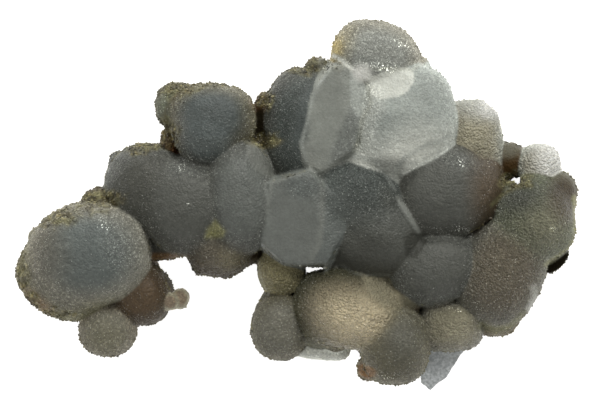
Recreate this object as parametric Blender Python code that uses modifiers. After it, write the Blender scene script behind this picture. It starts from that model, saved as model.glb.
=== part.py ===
# Botryoidal chalcedony: one natural specimen, a plate of fused rounded lobes that
# lies on its cut back with the lobes up. Metres, +Z up; the sizes below are in
# millimetres. The origin is under the middle of the specimen, on the resting plane.
#
# Every lobe is a rounded form from an icosphere, some with flat contact faces where
# a neighbour once pressed on them. The lobes, the small buds round their feet, two thin
# blades of clear quartz and the roots that carry it all are fused into one closed
# stone. Two small gaps go right through it, and its back is cut flat.

import math
import random

import bmesh
import bpy
from mathutils import Matrix, Vector, noise

MM = 0.001

STONE_NAME = "chalcedony"
BULGE = 2.2  # 2 is a true ellipsoid from the side, more is flatter on top
FOOT_DEPTH = 1.6  # how far a lobe's foot runs below the resting plane before the cut
ROUNDNESS = 1.15  # depth of a lobe's underside over its widest radius, at most
WOBBLE_SIZE = 7.0  # spacing of the slow swells on a lobe
WOBBLE_DEPTH = 0.45
PRESS = 0.9  # how much of a lobe's swell a contact face takes away
FINE_LOBE = 4.0  # lobes wider than this radius get the finer icosphere
FUSE_GRID = 0.42  # cell of the remesh that fuses the lobes
STONE_TRIANGLES = 9300

BUD_SEED = 11
BUD_SPACING = 4.2  # along the girth of the lobe that carries the buds
BUD_RADII = (1.1, 2.3)
BUD_LEVELS = (0.5, 0.75)  # lowest centre in millimetres, highest over the lobe's own
BUD_HOST = 4.4  # lobes narrower than this radius carry no buds

# name: centre, radii along the lobe's own X, Y and up, turn about Z in degrees,
# squareness in plan (2 is round)
LOBES = {
    # the western island and its small balls
    "left_dome": ((-41.8, -10.2, 9.8), (12.3, 10.3, 9.4), 4, 2.15),
    "left_skirt": ((-45.5, -13.4, 7.8), (10.9, 10.0, 8.4), 0, 1.8),
    "left_knob": ((-40.2, -0.4, 6.4), (3.1, 3.4, 5.0), 0, 2.0),
    "left_knob_east": ((-37.6, -1.2, 6.4), (3.2, 2.4, 4.0), 0, 2.0),
    "left_knob_west": ((-47.0, -5.0, 5.8), (3.1, 2.2, 3.8), 25, 2.0),
    "brown_ball": ((-31.5, -18.3, 6.2), (5.8, 6.3, 6.2), 0, 2.1),
    # the western mass
    "west_shoulder": ((-30.2, 3.0, 6.6), (8.8, 8.9, 8.6), 0, 2.0),
    "west_lobe": ((-22.4, -0.4, 9.2), (9.0, 9.9, 8.8), 0, 2.2),
    "west_rim": ((-28.0, -8.1, 4.6), (5.4, 3.6, 4.4), 0, 2.2),
    "west_crown": ((-17.1, 17.0, 9.8), (8.4, 6.9, 8.0), 0, 2.5),
    "west_crown_neck": ((-17.9, 13.0, 10.6), (6.6, 6.2, 7.4), 0, 1.9),
    "west_front": ((-11.2, 1.2, 11.2), (6.9, 11.2, 8.2), 4, 2.4),
    "west_under": ((-15.6, -9.7, 8.0), (6.2, 5.3, 6.8), 0, 2.1),
    # the northern cluster
    "north_west_back": ((1.5, 16.9, 6.6), (8.2, 10.4, 8.6), 0, 2.2),
    "north_west_front": ((3.2, 14.4, 8.6), (8.6, 11.4, 8.6), -8, 2.2),
    "north_west_low": ((-2.4, 8.6, 6.4), (4.6, 6.0, 6.4), 0, 2.2),
    "north_notch": ((6.4, 24.8, 8.0), (3.2, 2.6, 5.4), 0, 2.1),
    "pit_crust": ((-6.9, 15.0, 4.4), (2.4, 7.4, 4.6), -4, 2.2),
    "facet_lobe": ((7.6, 17.0, 13.8), (8.6, 13.0, 8.0), 0, 2.2),
    "north_crown": ((16.1, 28.9, 11.6), (8.9, 7.5, 7.8), -18, 2.2),
    "north_dome": ((21.6, 16.4, 13.0), (10.1, 11.5, 9.0), 0, 2.5),
    "north_apron": ((14.6, 8.9, 11.0), (7.2, 5.4, 6.8), 0, 2.2),
    "north_east_lobe": ((34.2, 12.2, 7.2), (7.3, 8.6, 7.8), 0, 3.4),
    "east_bead": ((42.3, 8.6, 6.4), (3.5, 3.6, 4.4), 0, 2.2),
    # the eastern and middle domes
    "east_dome": ((29.0, 2.4, 12.0), (9.6, 9.7, 8.6), 0, 2.3),
    "east_brown": ((36.2, 3.4, 8.8), (5.2, 7.6, 7.6), 0, 2.2),
    "middle_strip": ((21.4, -2.2, 13.4), (1.5, 5.4, 5.8), 33, 2.0),
    "centre_facet": ((1.6, -3.2, 13.6), (11.4, 11.4, 8.4), 0, 2.2),
    "centre_dome": ((12.4, 0.4, 12.2), (10.6, 8.2, 7.6), -30, 2.2),
    "centre_low": ((15.6, -6.0, 11.6), (10.2, 8.6, 8.0), 0, 2.4),
    "centre_neck": ((8.4, -10.2, 9.0), (4.4, 3.8, 6.4), 0, 2.2),
    # the south-eastern rim
    "south_east_lobe": ((27.4, -12.9, 11.0), (8.8, 7.4, 8.0), 20, 2.2),
    "east_lobe": ((47.3, -3.2, 9.6), (7.9, 8.8, 8.6), 20, 2.4),
    "east_lobe_north": ((52.2, 2.2, 7.4), (3.5, 4.2, 5.0), 0, 2.1),
    "east_ledge": ((51.2, -10.6, 4.6), (3.2, 4.0, 3.8), -40, 2.2),
    "south_east_dome": ((40.7, -14.0, 9.6), (8.5, 10.8, 8.6), -22, 2.4),
    "south_east_foot": ((40.0, -23.1, 5.0), (4.4, 3.6, 5.2), 0, 2.2),
    "south_east_link": ((35.6, -13.0, 7.0), (6.0, 9.0, 7.6), 0, 2.2),
    # the southern rim
    "glow_lobe": ((9.8, -20.9, 11.0), (10.2, 8.3, 8.4), -4, 2.5),
    "south_west_lobe": ((-3.6, -24.8, 7.2), (5.6, 6.8, 7.0), 0, 2.2),
    "south_bead": ((-3.4, -13.8, 8.2), (4.7, 4.6, 6.4), 0, 2.2),
    "south_lobe": ((19.2, -28.7, 9.2), (6.7, 7.6, 7.4), 0, 2.4),
    "south_lobe_foot": ((15.0, -33.7, 3.6), (2.8, 2.3, 3.2), 0, 2.4),
    "south_bead_east": ((30.8, -24.5, 8.4), (6.5, 5.2, 6.2), 0, 3.0),
}

# small balls and ledges that hang on a bigger lobe and don't reach the back: centre,
# radii with the same one up and down, turn, squareness
HANGING = {
    "low_ball": ((-38.3, -25.6, 6.6), (5.7, 5.4, 5.5), 0, 2.1),
    "bead_inner": ((-26.2, -19.8, 5.8), (1.6, 1.6, 1.8), 0, 2.0),
    "bead_outer": ((-23.9, -20.0, 6.0), (1.8, 2.1, 2.1), 0, 2.0),
    "west_crown_small": ((-24.2, 19.3, 7.4), (4.5, 4.7, 5.0), 0, 2.1),
    "west_crust": ((-25.2, 12.9, 6.0), (1.5, 2.6, 3.4), 0, 2.0),
    "west_under_east": ((-10.0, -10.4, 6.0), (2.5, 1.7, 3.0), 0, 2.0),
    "north_spike": ((3.2, 27.3, 6.2), (1.2, 2.0, 2.6), 0, 2.0),
    "pale_bead": ((48.6, 7.6, 7.6), (4.5, 4.3, 4.6), 0, 2.1),
    "south_ledge": ((4.8, -29.0, 5.0), (6.1, 2.7, 2.4), -6, 3.0),
}

# the body of the plate, in from its edge, that joins the lobes and makes the back:
# centre in plan, radii in plan, height
ROOTS = {
    "root_left": ((-42.6, -11.0), (9.0, 8.0), 6.0),
    "root_brown": ((-33.4, -14.6), (5.4, 5.4), 4.6),
    "root_neck": ((-34.6, -3.6), (5.0, 5.6), 5.4),
    "root_west": ((-28.6, 1.2), (9.6, 8.4), 7.0),
    "root_west_front": ((-14.4, 1.0), (9.0, 10.0), 8.0),
    "root_crown": ((-18.6, 13.0), (6.4, 7.4), 7.0),
    "root_link": ((-6.6, -6.0), (6.8, 6.6), 7.4),
    "root_pit": ((-5.6, 8.6), (5.2, 6.6), 4.6),
    "root_north_west": ((3.6, 14.4), (8.0, 11.0), 8.6),
    "root_north": ((18.4, 19.6), (11.0, 12.6), 11.0),
    "root_crown_north": ((14.8, 29.0), (7.4, 5.4), 8.4),
    "root_middle": ((10.4, -0.6), (15.4, 8.6), 11.6),
    "root_east": ((29.6, 4.4), (10.0, 10.4), 9.4),
    "root_south_east": ((37.6, -12.6), (8.8, 9.4), 8.4),
    "root_east_lobe": ((46.6, -4.0), (7.0, 6.6), 7.4),
    "root_bay": ((23.6, -15.6), (9.6, 8.2), 8.0),
    "root_south": ((9.6, -22.2), (9.6, 7.0), 8.4),
    "root_south_west": ((-3.4, -23.2), (5.0, 6.6), 5.8),
    "root_south_bead": ((-3.8, -14.6), (4.0, 4.4), 4.6),
    "root_south_gap": ((0.8, -18.4), (4.4, 4.0), 5.4),
    "root_south_lobe": ((19.4, -26.6), (6.2, 6.6), 6.4),
    "root_south_bead_east": ((30.2, -22.4), (5.4, 4.6), 6.0),
}

# flat contact faces: the way each faces, and a point on it from the lobe's centre
FACETS = {
    "facet_lobe": [
        ((-0.2, 0.02, 0.97), (2.8, 0.0, 4.8)),
        ((0.3, 0.1, 0.95), (2.8, 0.0, 4.8)),
        ((-0.79, 0.61, 0.14), (-3.0, 6.7, 4.0)),
        ((-0.96, 0.28, 0.14), (-5.1, 1.0, 4.0)),
        ((-0.97, -0.23, 0.14), (-6.2, -7.7, 4.0)),
        ((0.55, -0.83, 0.3), (0.4, -8.6, 4.0)),
        ((0.96, -0.27, 0.22), (5.6, 0.5, 4.0)),
        ((1.0, 0.1, 0.22), (6.6, 5.5, 4.0)),
        ((0.05, 1.0, 0.22), (2.8, 9.6, 4.0)),
    ],
    "centre_facet": [
        ((-0.22, -0.1, 0.97), (3.4, 0.0, 5.8)),
        ((0.28, 0.06, 0.95), (3.4, 0.0, 5.8)),
        ((-1.0, 0.06, 0.12), (-7.8, 0.0, 4.0)),
        ((-0.33, 0.94, 0.15), (-3.0, 8.4, 4.0)),
        ((0.74, 0.67, 0.2), (2.7, 7.6, 4.0)),
        ((0.87, -0.49, 0.2), (7.0, -4.0, 4.0)),
        ((-0.16, -0.99, 0.12), (-0.6, -9.0, 4.0)),
        ((-0.69, -0.73, 0.12), (-6.4, -6.6, 4.0)),
    ],
    "west_front": [((0.6, 0.33, 0.73), (2.8, 7.8, 5.0))],
    "north_dome": [((-0.24, 0.42, 0.88), (-5.2, 6.0, 6.0))],
    "north_east_lobe": [
        ((0.64, 0.77, 0.1), (4.6, 7.2, 0.0)),
        ((0.98, 0.21, 0.1), (6.6, 3.6, 0.0)),
    ],
    "glow_lobe": [((0.52, 0.46, 0.72), (6.0, 4.0, 3.4))],
}

# gaps that go right through the plate, in plan
GAPS = [
    ((1.7, -12.7), (5.3, -12.7), (5.0, -13.4), (3.2, -13.7), (2.6, -14.1), (1.7, -13.9)),
    ((41.9, 4.5), (43.0, 5.2), (44.5, 5.2), (44.7, 3.8), (43.9, 3.5), (43.3, 4.2)),
]
GAP_DEPTH = 25.0  # how far the skin over a gap is pushed down, past the cut

# thin blades of clear quartz at the southern rim: outline in plan, underside and top
# at the root, how much thinner the blade is at its tip
BLADES = {
    "south_blade": (
        ((25.2, -27.4), (34.0, -26.6), (33.8, -29.4), (31.8, -32.4), (30.0, -35.2),
         (27.0, -38.0), (25.0, -36.4), (24.9, -32.6)),
        (3.0, 8.8), 0.35),
    "east_blade": (
        ((41.6, -15.4), (47.6, -16.0), (48.0, -18.4), (46.6, -21.0), (44.0, -23.0),
         (41.0, -22.0)),
        (2.8, 6.6), 0.6),
}


def lobe_point(direction, radii, down, squareness):
    """A point of the unit icosphere carried onto the lobe's rounded form."""
    plan = abs(direction.x) ** squareness + abs(direction.y) ** squareness
    length = plan ** (BULGE / squareness) + abs(direction.z) ** BULGE
    scaled = direction * length ** (-1 / BULGE)
    up = radii[2] if direction.z > 0 else down
    return Vector((scaled.x * radii[0], scaled.y * radii[1], scaled.z * up))


def underside(shape):
    """How far a rooted lobe reaches below its centre."""
    centre, radii = shape[:2]
    return min(centre[2] + FOOT_DEPTH, ROUNDNESS * max(radii[:2]))


def make_lobe(shape, down, facets=()):
    """One closed lobe as a bmesh, in millimetres."""
    centre, radii, turn, squareness = shape
    centre = Vector(centre)
    lobe = bmesh.new()
    detail = 5 if max(radii) > FINE_LOBE else 3
    bmesh.ops.create_icosphere(lobe, subdivisions=detail, radius=1)
    spin = Matrix.Rotation(math.radians(turn), 3, "Z")
    for vert in lobe.verts:
        place = centre + spin @ lobe_point(vert.co.normalized(), radii, down, squareness)
        swell = noise.noise(place / WOBBLE_SIZE) * WOBBLE_DEPTH
        vert.co = place + (place - centre).normalized() * swell
    for facing, offset in facets:
        facing = Vector(facing).normalized()
        for vert in lobe.verts:
            proud = (vert.co - centre - Vector(offset)).dot(facing)
            vert.co -= facing * max(proud, 0) * PRESS
    return lobe


def make_blade(outline, levels, thinning):
    """A thin blade that narrows from its root at the first points to its tip."""
    low, high = levels
    root = (Vector(outline[0]) + Vector(outline[1])) / 2
    reach = max((Vector(point) - root).length for point in outline)
    blade = bmesh.new()
    for point in outline:
        share = (Vector(point) - root).length / reach
        drop = (high - low) * thinning * share
        blade.verts.new((point[0], point[1], high - 2 * drop))
        blade.verts.new((point[0], point[1], low + drop / 2))
    bmesh.ops.convex_hull(blade, input=blade.verts[:])
    return blade


def buds(shape, rng):
    """Small buds round the lower flank of a lobe, each a ball of its own."""
    centre, radii, turn, _ = shape
    if min(radii[:2]) < BUD_HOST:
        return
    down = underside(shape)
    count = int(math.pi * (radii[0] + radii[1]) / BUD_SPACING)
    for step in range(count):
        angle = math.tau * (step + rng.uniform(-0.4, 0.4)) / count
        height = rng.uniform(BUD_LEVELS[0], centre[2] * BUD_LEVELS[1])
        size = rng.uniform(*BUD_RADII)
        depth = min((centre[2] - height) / down, 1)
        reach = (1 - depth ** BULGE) ** (1 / BULGE)
        arm = Vector((radii[0] * reach * math.cos(angle), radii[1] * reach * math.sin(angle), 0))
        arm.rotate(Matrix.Rotation(math.radians(turn), 3, "Z"))
        arm *= max(1 - size / 2 / max(arm.length, size), 0)
        place = (centre[0] + arm.x, centre[1] + arm.y, height)
        yield place, (size * rng.uniform(0.85, 1.2), size * rng.uniform(0.85, 1.2), size), 0, 2.0


def gather(target, lobe):
    """Adds a finished lobe to the mesh that holds them all, and frees it."""
    loose = bpy.data.meshes.new("lobe")
    lobe.to_mesh(loose)
    lobe.free()
    target.from_mesh(loose)
    bpy.data.meshes.remove(loose)


def all_shells():
    """Every lobe, ball, bud, blade and root as overlapping closed shells."""
    rng = random.Random(BUD_SEED)
    shells = bmesh.new()
    for name, shape in LOBES.items():
        gather(shells, make_lobe(shape, underside(shape), FACETS.get(name, ())))
        for bud in buds(shape, rng):
            gather(shells, make_lobe(bud, bud[1][2]))
    for shape in HANGING.values():
        gather(shells, make_lobe(shape, shape[1][2]))
    for (x, y), (wide, deep), height in ROOTS.values():
        root = ((x, y, 0), (wide, deep, height), 0, BULGE)
        gather(shells, make_lobe(root, FOOT_DEPTH))
    for outline, levels, thinning in BLADES.values():
        gather(shells, make_blade(outline, levels, thinning))
    return shells


def inside(place, outline):
    """Whether a place lies inside a closed outline of the plan."""
    odd = False
    for (x0, y0), (x1, y1) in zip(outline, outline[1:] + outline[:1]):
        if (place.y > y0) != (place.y > y1):
            odd ^= place.x < x0 + (place.y - y0) * (x1 - x0) / (y1 - y0)
    return odd


def open_gaps(mesh):
    """Pushes the skin over each gap below the resting plane, where the cut takes it."""
    for vert in mesh.vertices:
        if any(inside(vert.co, outline) for outline in GAPS):
            vert.co.z -= GAP_DEPTH


def evaluated_mesh(obj):
    graph = bpy.context.evaluated_depsgraph_get()
    return bpy.data.meshes.new_from_object(obj.evaluated_get(graph))


def fuse(shells):
    """Fuses the overlapping shells into one skin with its gaps, and thins it."""
    mesh = bpy.data.meshes.new(STONE_NAME)
    shells.to_mesh(mesh)
    shells.free()
    stone = bpy.data.objects.new(STONE_NAME, mesh)
    collection.objects.link(stone)
    remesh = stone.modifiers.new("fuse", "REMESH")
    remesh.mode = "VOXEL"
    remesh.voxel_size = FUSE_GRID
    stone.data = evaluated_mesh(stone)
    bpy.data.meshes.remove(mesh)
    stone.modifiers.clear()
    open_gaps(stone.data)
    triangles = sum(len(face.vertices) - 2 for face in stone.data.polygons)
    decimate = stone.modifiers.new("thin", "DECIMATE")
    decimate.ratio = STONE_TRIANGLES / triangles
    stone.data = evaluated_mesh(stone)
    stone.modifiers.clear()
    return stone


def drop_islands(body):
    """Leaves only the largest connected skin: hollows and loose specks go."""
    islands = []
    unseen = set(body.verts)
    while unseen:
        front = [unseen.pop()]
        island = []
        while front:
            vert = front.pop()
            island.append(vert)
            near = {edge.other_vert(vert) for edge in vert.link_edges} & unseen
            unseen -= near
            front.extend(near)
        islands.append(island)
    islands.sort(key=len)
    for island in islands[:-1]:
        bmesh.ops.delete(body, geom=island, context="VERTS")


def cut_back(stone):
    """Cuts the back off flat on the resting plane and closes it."""
    body = bmesh.new()
    body.from_mesh(stone.data)
    drop_islands(body)
    everything = body.verts[:] + body.edges[:] + body.faces[:]
    cut = bmesh.ops.bisect_plane(
        body, geom=everything, plane_co=(0, 0, 0), plane_no=(0, 0, -1), clear_outer=True)
    rim = [e for e in cut["geom_cut"] if isinstance(e, bmesh.types.BMEdge)]
    bmesh.ops.triangle_fill(body, edges=rim, use_beauty=True, normal=(0, 0, -1))
    bmesh.ops.triangulate(body, faces=body.faces[:])
    drop_islands(body)
    bmesh.ops.recalc_face_normals(body, faces=body.faces[:])
    body.to_mesh(stone.data)
    body.free()


def centre_over_origin(stone):
    """Puts the origin under the middle of the specimen and turns millimetres to metres."""
    xs = [vert.co.x for vert in stone.data.vertices]
    ys = [vert.co.y for vert in stone.data.vertices]
    middle = Vector(((min(xs) + max(xs)) / 2, (min(ys) + max(ys)) / 2, 0))
    stone.data.transform(Matrix.Scale(MM, 4) @ Matrix.Translation(-middle))


def chalcedony_material():
    material = bpy.data.materials.new("chalcedony_skin")
    material.use_nodes = True
    shader = material.node_tree.nodes["Principled BSDF"]
    shader.inputs["Base Color"].default_value = (0.16, 0.18, 0.17, 1.0)
    shader.inputs["Roughness"].default_value = 0.45
    shader.inputs["Metallic"].default_value = 0.0
    return material


for old in list(bpy.data.objects):
    bpy.data.objects.remove(old)
collection = bpy.data.collections.new("chalcedony_specimen")
bpy.context.scene.collection.children.link(collection)

chalcedony = fuse(all_shells())
cut_back(chalcedony)
centre_over_origin(chalcedony)
chalcedony.data.materials.append(chalcedony_material())
chalcedony.data.shade_smooth()
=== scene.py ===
import math
import random

import bmesh
import bpy
import numpy
from mathutils import Matrix, Vector, noise


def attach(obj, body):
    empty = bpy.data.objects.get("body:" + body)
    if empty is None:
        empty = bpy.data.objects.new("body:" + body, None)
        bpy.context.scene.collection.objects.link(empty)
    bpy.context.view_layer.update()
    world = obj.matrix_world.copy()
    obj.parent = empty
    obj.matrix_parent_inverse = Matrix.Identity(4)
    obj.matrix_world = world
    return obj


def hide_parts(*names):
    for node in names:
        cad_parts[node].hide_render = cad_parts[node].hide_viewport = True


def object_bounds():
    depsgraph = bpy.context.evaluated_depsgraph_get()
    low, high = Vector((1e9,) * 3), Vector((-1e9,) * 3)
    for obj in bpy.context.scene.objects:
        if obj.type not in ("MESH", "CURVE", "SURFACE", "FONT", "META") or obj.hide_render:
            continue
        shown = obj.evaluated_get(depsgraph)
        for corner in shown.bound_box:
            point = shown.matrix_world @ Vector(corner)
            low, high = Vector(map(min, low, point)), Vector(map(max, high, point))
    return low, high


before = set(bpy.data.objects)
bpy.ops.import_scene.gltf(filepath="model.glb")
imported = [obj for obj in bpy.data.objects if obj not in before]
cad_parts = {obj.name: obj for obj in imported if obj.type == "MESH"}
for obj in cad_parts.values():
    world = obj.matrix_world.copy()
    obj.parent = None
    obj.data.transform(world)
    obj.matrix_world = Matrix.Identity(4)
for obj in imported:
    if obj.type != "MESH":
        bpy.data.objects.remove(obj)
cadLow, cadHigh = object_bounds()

mm = 0.001
bodyName = "root"
nodeName = "chalcedony"

# what shapes every lobe
form = {
    "bulge": 2.2,             # 2 is a true ellipsoid from the side, more is flatter on top
    "footDepth": 1.6,         # how far a lobe runs below the resting plane, before the cut
    "roundness": 1.15,        # depth of its underside over its widest radius, at most
    "swellSize": 7.0,         # spacing of the slow swells on a lobe
    "swellDepth": 0.45,
    "press": 0.9,             # how much of the swell a contact face takes away
    "detail": 3,              # subdivisions of a small lobe
    "fineDetail": 5,          # and of one wider than fineLobe
    "fineLobe": 4.0,
    "grid": 0.27,             # cell of the remesh that fuses the lobes
    "triangles": 190000,      # left on the whole stone
    "lobeDetail": 0.8,        # how much more the thinning spares the lobes than the underside
    "openDepth": 40.0,        # how far the skin over an opening is pushed down
    "openSoft": 0.15,         # softness of an opening's border
    "budSeed": 11,
    "budSpacing": 4.2,        # along the girth of the lobe that carries the buds
    "budStray": 0.4,          # how far a bud strays, as a share of the spacing
    "budRadii": (1.1, 2.3),
    "budStretch": (0.85, 1.2),
    "budLevels": (0.5, 0.75),  # lowest in millimetres, highest as a share of the lobe's height
    "budHost": 4.4,           # lobes narrower than this radius carry no buds
}

# colours as they look on the stone, 0 to 255
paint = {
    "slate": (92, 99, 97),
    "deepSlate": (76, 83, 82),
    "night": (64, 70, 67),
    "steel": (103, 107, 103),
    "ash": (122, 125, 119),
    "dove": (134, 137, 131),
    "plate": (126, 130, 124),
    "silver": (148, 153, 148),
    "pearl": (160, 163, 153),
    "lichen": (106, 111, 92),
    "milk": (205, 208, 200),
    "smoke": (81, 83, 78),
    "flint": (106, 105, 94),
    "fern": (84, 84, 66),
    "khaki": (142, 136, 104),
    "lead": (95, 99, 95),
    "dusk": (62, 63, 57),
    "chestnut": (80, 66, 48),
    "blush": (124, 111, 93),
    "fog": (148, 154, 149),
    "pewter": (135, 142, 138),
    "glass": (168, 162, 138),
    "snow": (230, 231, 226),
    "haze": (125, 123, 111),
    "ink": (54, 55, 50),
    "butter": (238, 224, 190),
    "linen": (184, 179, 156),
    "chalk": (190, 191, 182),
    "toffee": (126, 90, 38),
    "amber": (202, 178, 92),
    "hay": (134, 132, 112),
    "umbra": (70, 71, 65),
    "taupe": (104, 98, 84),
    "moss": (94, 91, 74),
    "olive": (106, 103, 74),
    "gold": (164, 152, 104),
    "lime": (146, 145, 100),
    "crust": (120, 117, 84),
    "crustDark": (76, 70, 46),
    "umber": (60, 44, 22),
    "rust": (124, 84, 50),
    "bark": (66, 57, 42),
    "sand": (152, 148, 127),
    "bronze": (100, 90, 68),
    "pitch": (24, 21, 14),
}

# name: centre, radii along the lobe's own X, Y and up, turn in degrees, squareness
lobes = {
    "leftDome": ((-41.6, -10.2, 9.8), (12.1, 10.3, 9.4), 4, 2.2),
    "leftSkirt": ((-45.5, -13.7, 7.8), (10.9, 10.0, 8.4), 0, 1.8),
    "leftKnob": ((-40.2, -0.4, 6.4), (3.1, 3.4, 5.0), 0, 2.0),
    "leftKnobEast": ((-37.6, -1.2, 6.4), (3.2, 2.4, 4.0), 0, 2.0),
    "leftKnobWest": ((-47.0, -5.0, 5.8), (3.1, 2.2, 3.8), 25, 2.0),
    "brownBall": ((-31.5, -18.3, 6.2), (5.8, 6.3, 6.2), 0, 2.1),
    "westShoulder": ((-30.2, 3.0, 6.6), (8.8, 8.9, 8.6), 0, 2.0),
    "westLobe": ((-22.4, -0.4, 9.2), (9.0, 9.9, 8.8), 0, 2.2),
    "westRim": ((-28.0, -8.1, 4.6), (5.4, 3.6, 4.4), 0, 2.2),
    "westCrown": ((-17.1, 17.0, 9.8), (8.4, 6.9, 8.0), 0, 2.5),
    "westCrownNeck": ((-17.9, 13.0, 10.6), (6.6, 6.2, 7.4), 0, 1.9),
    "westFront": ((-11.2, 1.2, 11.2), (6.9, 11.2, 8.2), 4, 2.4),
    "westUnder": ((-15.6, -9.7, 8.0), (6.2, 5.3, 6.8), 0, 2.1),
    "northWestBack": ((1.5, 16.9, 6.6), (8.2, 10.4, 8.6), 0, 2.2),
    "northWestFront": ((3.2, 14.4, 8.6), (8.6, 11.4, 8.6), -8, 2.2),
    "northWestLow": ((-2.4, 8.6, 6.4), (4.6, 6.0, 6.4), 0, 2.2),
    "northNotch": ((6.4, 24.2, 8.0), (3.2, 2.5, 5.4), 0, 2.1),
    "pitCrust": ((-6.9, 15.0, 4.4), (2.4, 7.4, 4.6), -4, 2.2),
    "facetLobe": ((7.6, 17.0, 13.8), (8.6, 13.0, 8.0), 0, 2.2),
    "northCrown": ((15.8, 28.8, 11.6), (8.9, 7.5, 7.8), -18, 2.2),
    "northDome": ((21.6, 16.4, 13.0), (10.1, 11.5, 9.0), 0, 2.5),
    "northApron": ((14.6, 8.9, 11.0), (7.2, 5.4, 6.8), 0, 2.2),
    "apronTip": ((18.4, 6.0, 11.6), (2.6, 5.6, 5.0), 17, 2.0),
    "northEastLobe": ((34.2, 12.2, 7.2), (7.3, 8.6, 7.8), 0, 3.4),
    "eastBead": ((42.3, 8.6, 6.4), (3.5, 3.6, 4.4), 0, 2.2),
    "eastDome": ((29.0, 2.4, 12.0), (9.6, 9.7, 8.6), 0, 2.3),
    "eastBrown": ((36.2, 3.4, 8.8), (5.2, 7.6, 7.6), 0, 2.2),
    "middleStrip": ((21.5, -2.2, 13.1), (1.0, 5.2, 5.5), 33, 2.0),
    "centreFacet": ((1.6, -3.2, 13.6), (11.4, 11.4, 8.4), 0, 2.2),
    "centreDome": ((12.4, 0.4, 12.2), (10.6, 8.2, 7.6), -30, 2.2),
    "centreLow": ((15.6, -6.0, 11.6), (10.2, 8.6, 8.0), 0, 2.4),
    "centreNeck": ((8.4, -10.2, 9.0), (4.4, 3.8, 6.4), 0, 2.2),
    "southEastLobe": ((27.4, -12.9, 11.0), (8.8, 7.4, 8.0), 20, 2.2),
    "eastLobe": ((47.3, -3.2, 9.6), (7.9, 8.8, 8.6), 20, 2.4),
    "eastLobeNorth": ((52.3, 2.1, 7.4), (3.6, 4.3, 5.0), 0, 2.1),
    "eastLedge": ((51.2, -10.6, 4.6), (3.2, 4.0, 3.8), -40, 2.2),
    "southEastDome": ((40.7, -14.0, 9.6), (8.5, 10.8, 8.6), -22, 2.4),
    "southEastFoot": ((40.0, -23.1, 5.0), (4.4, 3.6, 5.2), 0, 2.2),
    "southEastLink": ((35.6, -13.0, 7.0), (6.0, 9.0, 7.6), 0, 2.2),
    "glowLobe": ((10.0, -20.9, 11.0), (10.5, 8.3, 8.4), -4, 2.5),
    "southWestLobe": ((-3.6, -24.8, 7.2), (5.6, 6.8, 7.0), 0, 2.2),
    "southBead": ((-3.4, -13.8, 8.2), (4.7, 4.6, 6.4), 0, 2.2),
    "glowFoot": ((3.6, -25.2, 7.0), (4.6, 3.6, 4.8), -20, 2.3),
    "southLobe": ((19.4, -28.3, 10.5), (6.8, 7.9, 7.5), 0, 2.4),
    "bayLobe": ((22.0, -18.8, 8.8), (3.6, 3.6, 6.0), 0, 2.0),
    "southLobeFoot": ((15.0, -33.7, 3.6), (2.8, 2.3, 3.2), 0, 2.4),
    "southBeadEast": ((30.8, -24.5, 8.4), (6.5, 5.2, 6.2), 0, 3.0),
}

# small balls and ledges that hang on a bigger lobe
hanging = {
    "lowBall": ((-38.3, -25.6, 6.6), (5.7, 5.4, 5.5), 0, 2.1),
    "beadInner": ((-25.6, -19.9, 8.2), (1.7, 1.7, 1.8), 0, 2.0),
    "beadOuter": ((-23.6, -19.2, 6.6), (1.8, 2.1, 2.1), 0, 2.0),
    "westCrownSmall": ((-24.2, 19.3, 7.4), (4.5, 4.7, 5.0), 0, 2.1),
    "westCrust": ((-25.6, 12.2, 6.0), (1.9, 3.2, 3.6), 0, 2.0),
    "westUnderEast": ((-10.0, -10.4, 6.0), (2.5, 1.7, 3.0), 0, 2.0),
    "northSpike": ((3.2, 27.3, 6.2), (1.2, 2.0, 2.6), 0, 2.0),
    "paleBead": ((48.6, 7.6, 7.6), (4.5, 4.3, 4.6), 0, 2.1),
    "southLedge": ((4.8, -29.0, 5.0), (6.1, 2.7, 2.4), -6, 3.0),
}

# the body of the plate, in from its edge: centre and radii in plan, height
roots = {
    "rootLeft": ((-42.6, -11.0), (9.0, 8.0), 6.0),
    "rootBrown": ((-33.4, -14.6), (5.4, 5.4), 4.6),
    "rootNeck": ((-34.6, -3.6), (5.0, 5.6), 5.4),
    "rootWest": ((-28.6, 1.2), (9.6, 8.4), 7.0),
    "rootWestFront": ((-14.4, 1.0), (9.0, 10.0), 8.0),
    "rootCrown": ((-18.6, 13.0), (6.4, 7.4), 7.0),
    "rootLink": ((-6.6, -6.0), (6.8, 6.6), 7.4),
    "rootPit": ((-5.6, 8.6), (5.2, 6.6), 4.6),
    "rootNorthWest": ((3.6, 14.4), (8.0, 11.0), 8.6),
    "rootNorth": ((18.4, 19.6), (11.0, 12.6), 11.0),
    "rootCrownNorth": ((14.8, 29.0), (7.4, 5.4), 8.4),
    "rootMiddle": ((10.4, -0.6), (15.4, 8.6), 11.6),
    "rootEast": ((29.6, 4.4), (10.0, 10.4), 9.4),
    "rootSouthEast": ((37.6, -12.6), (8.8, 9.4), 8.4),
    "rootEastLobe": ((46.6, -4.0), (7.0, 6.6), 7.4),
    "rootBay": ((23.6, -15.6), (9.6, 8.2), 8.0),
    "rootSouth": ((9.6, -22.2), (9.6, 7.0), 8.4),
    "rootSouthWest": ((-3.4, -23.2), (5.0, 6.6), 5.8),
    "rootSouthBead": ((-3.8, -14.6), (4.0, 4.4), 4.6),
    "rootSouthGap": ((0.8, -18.4), (4.4, 4.0), 5.4),
    "rootSouthLobe": ((19.4, -26.6), (6.2, 6.6), 6.4),
    "rootSouthBeadEast": ((30.2, -22.4), (5.4, 4.6), 6.0),
}

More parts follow.
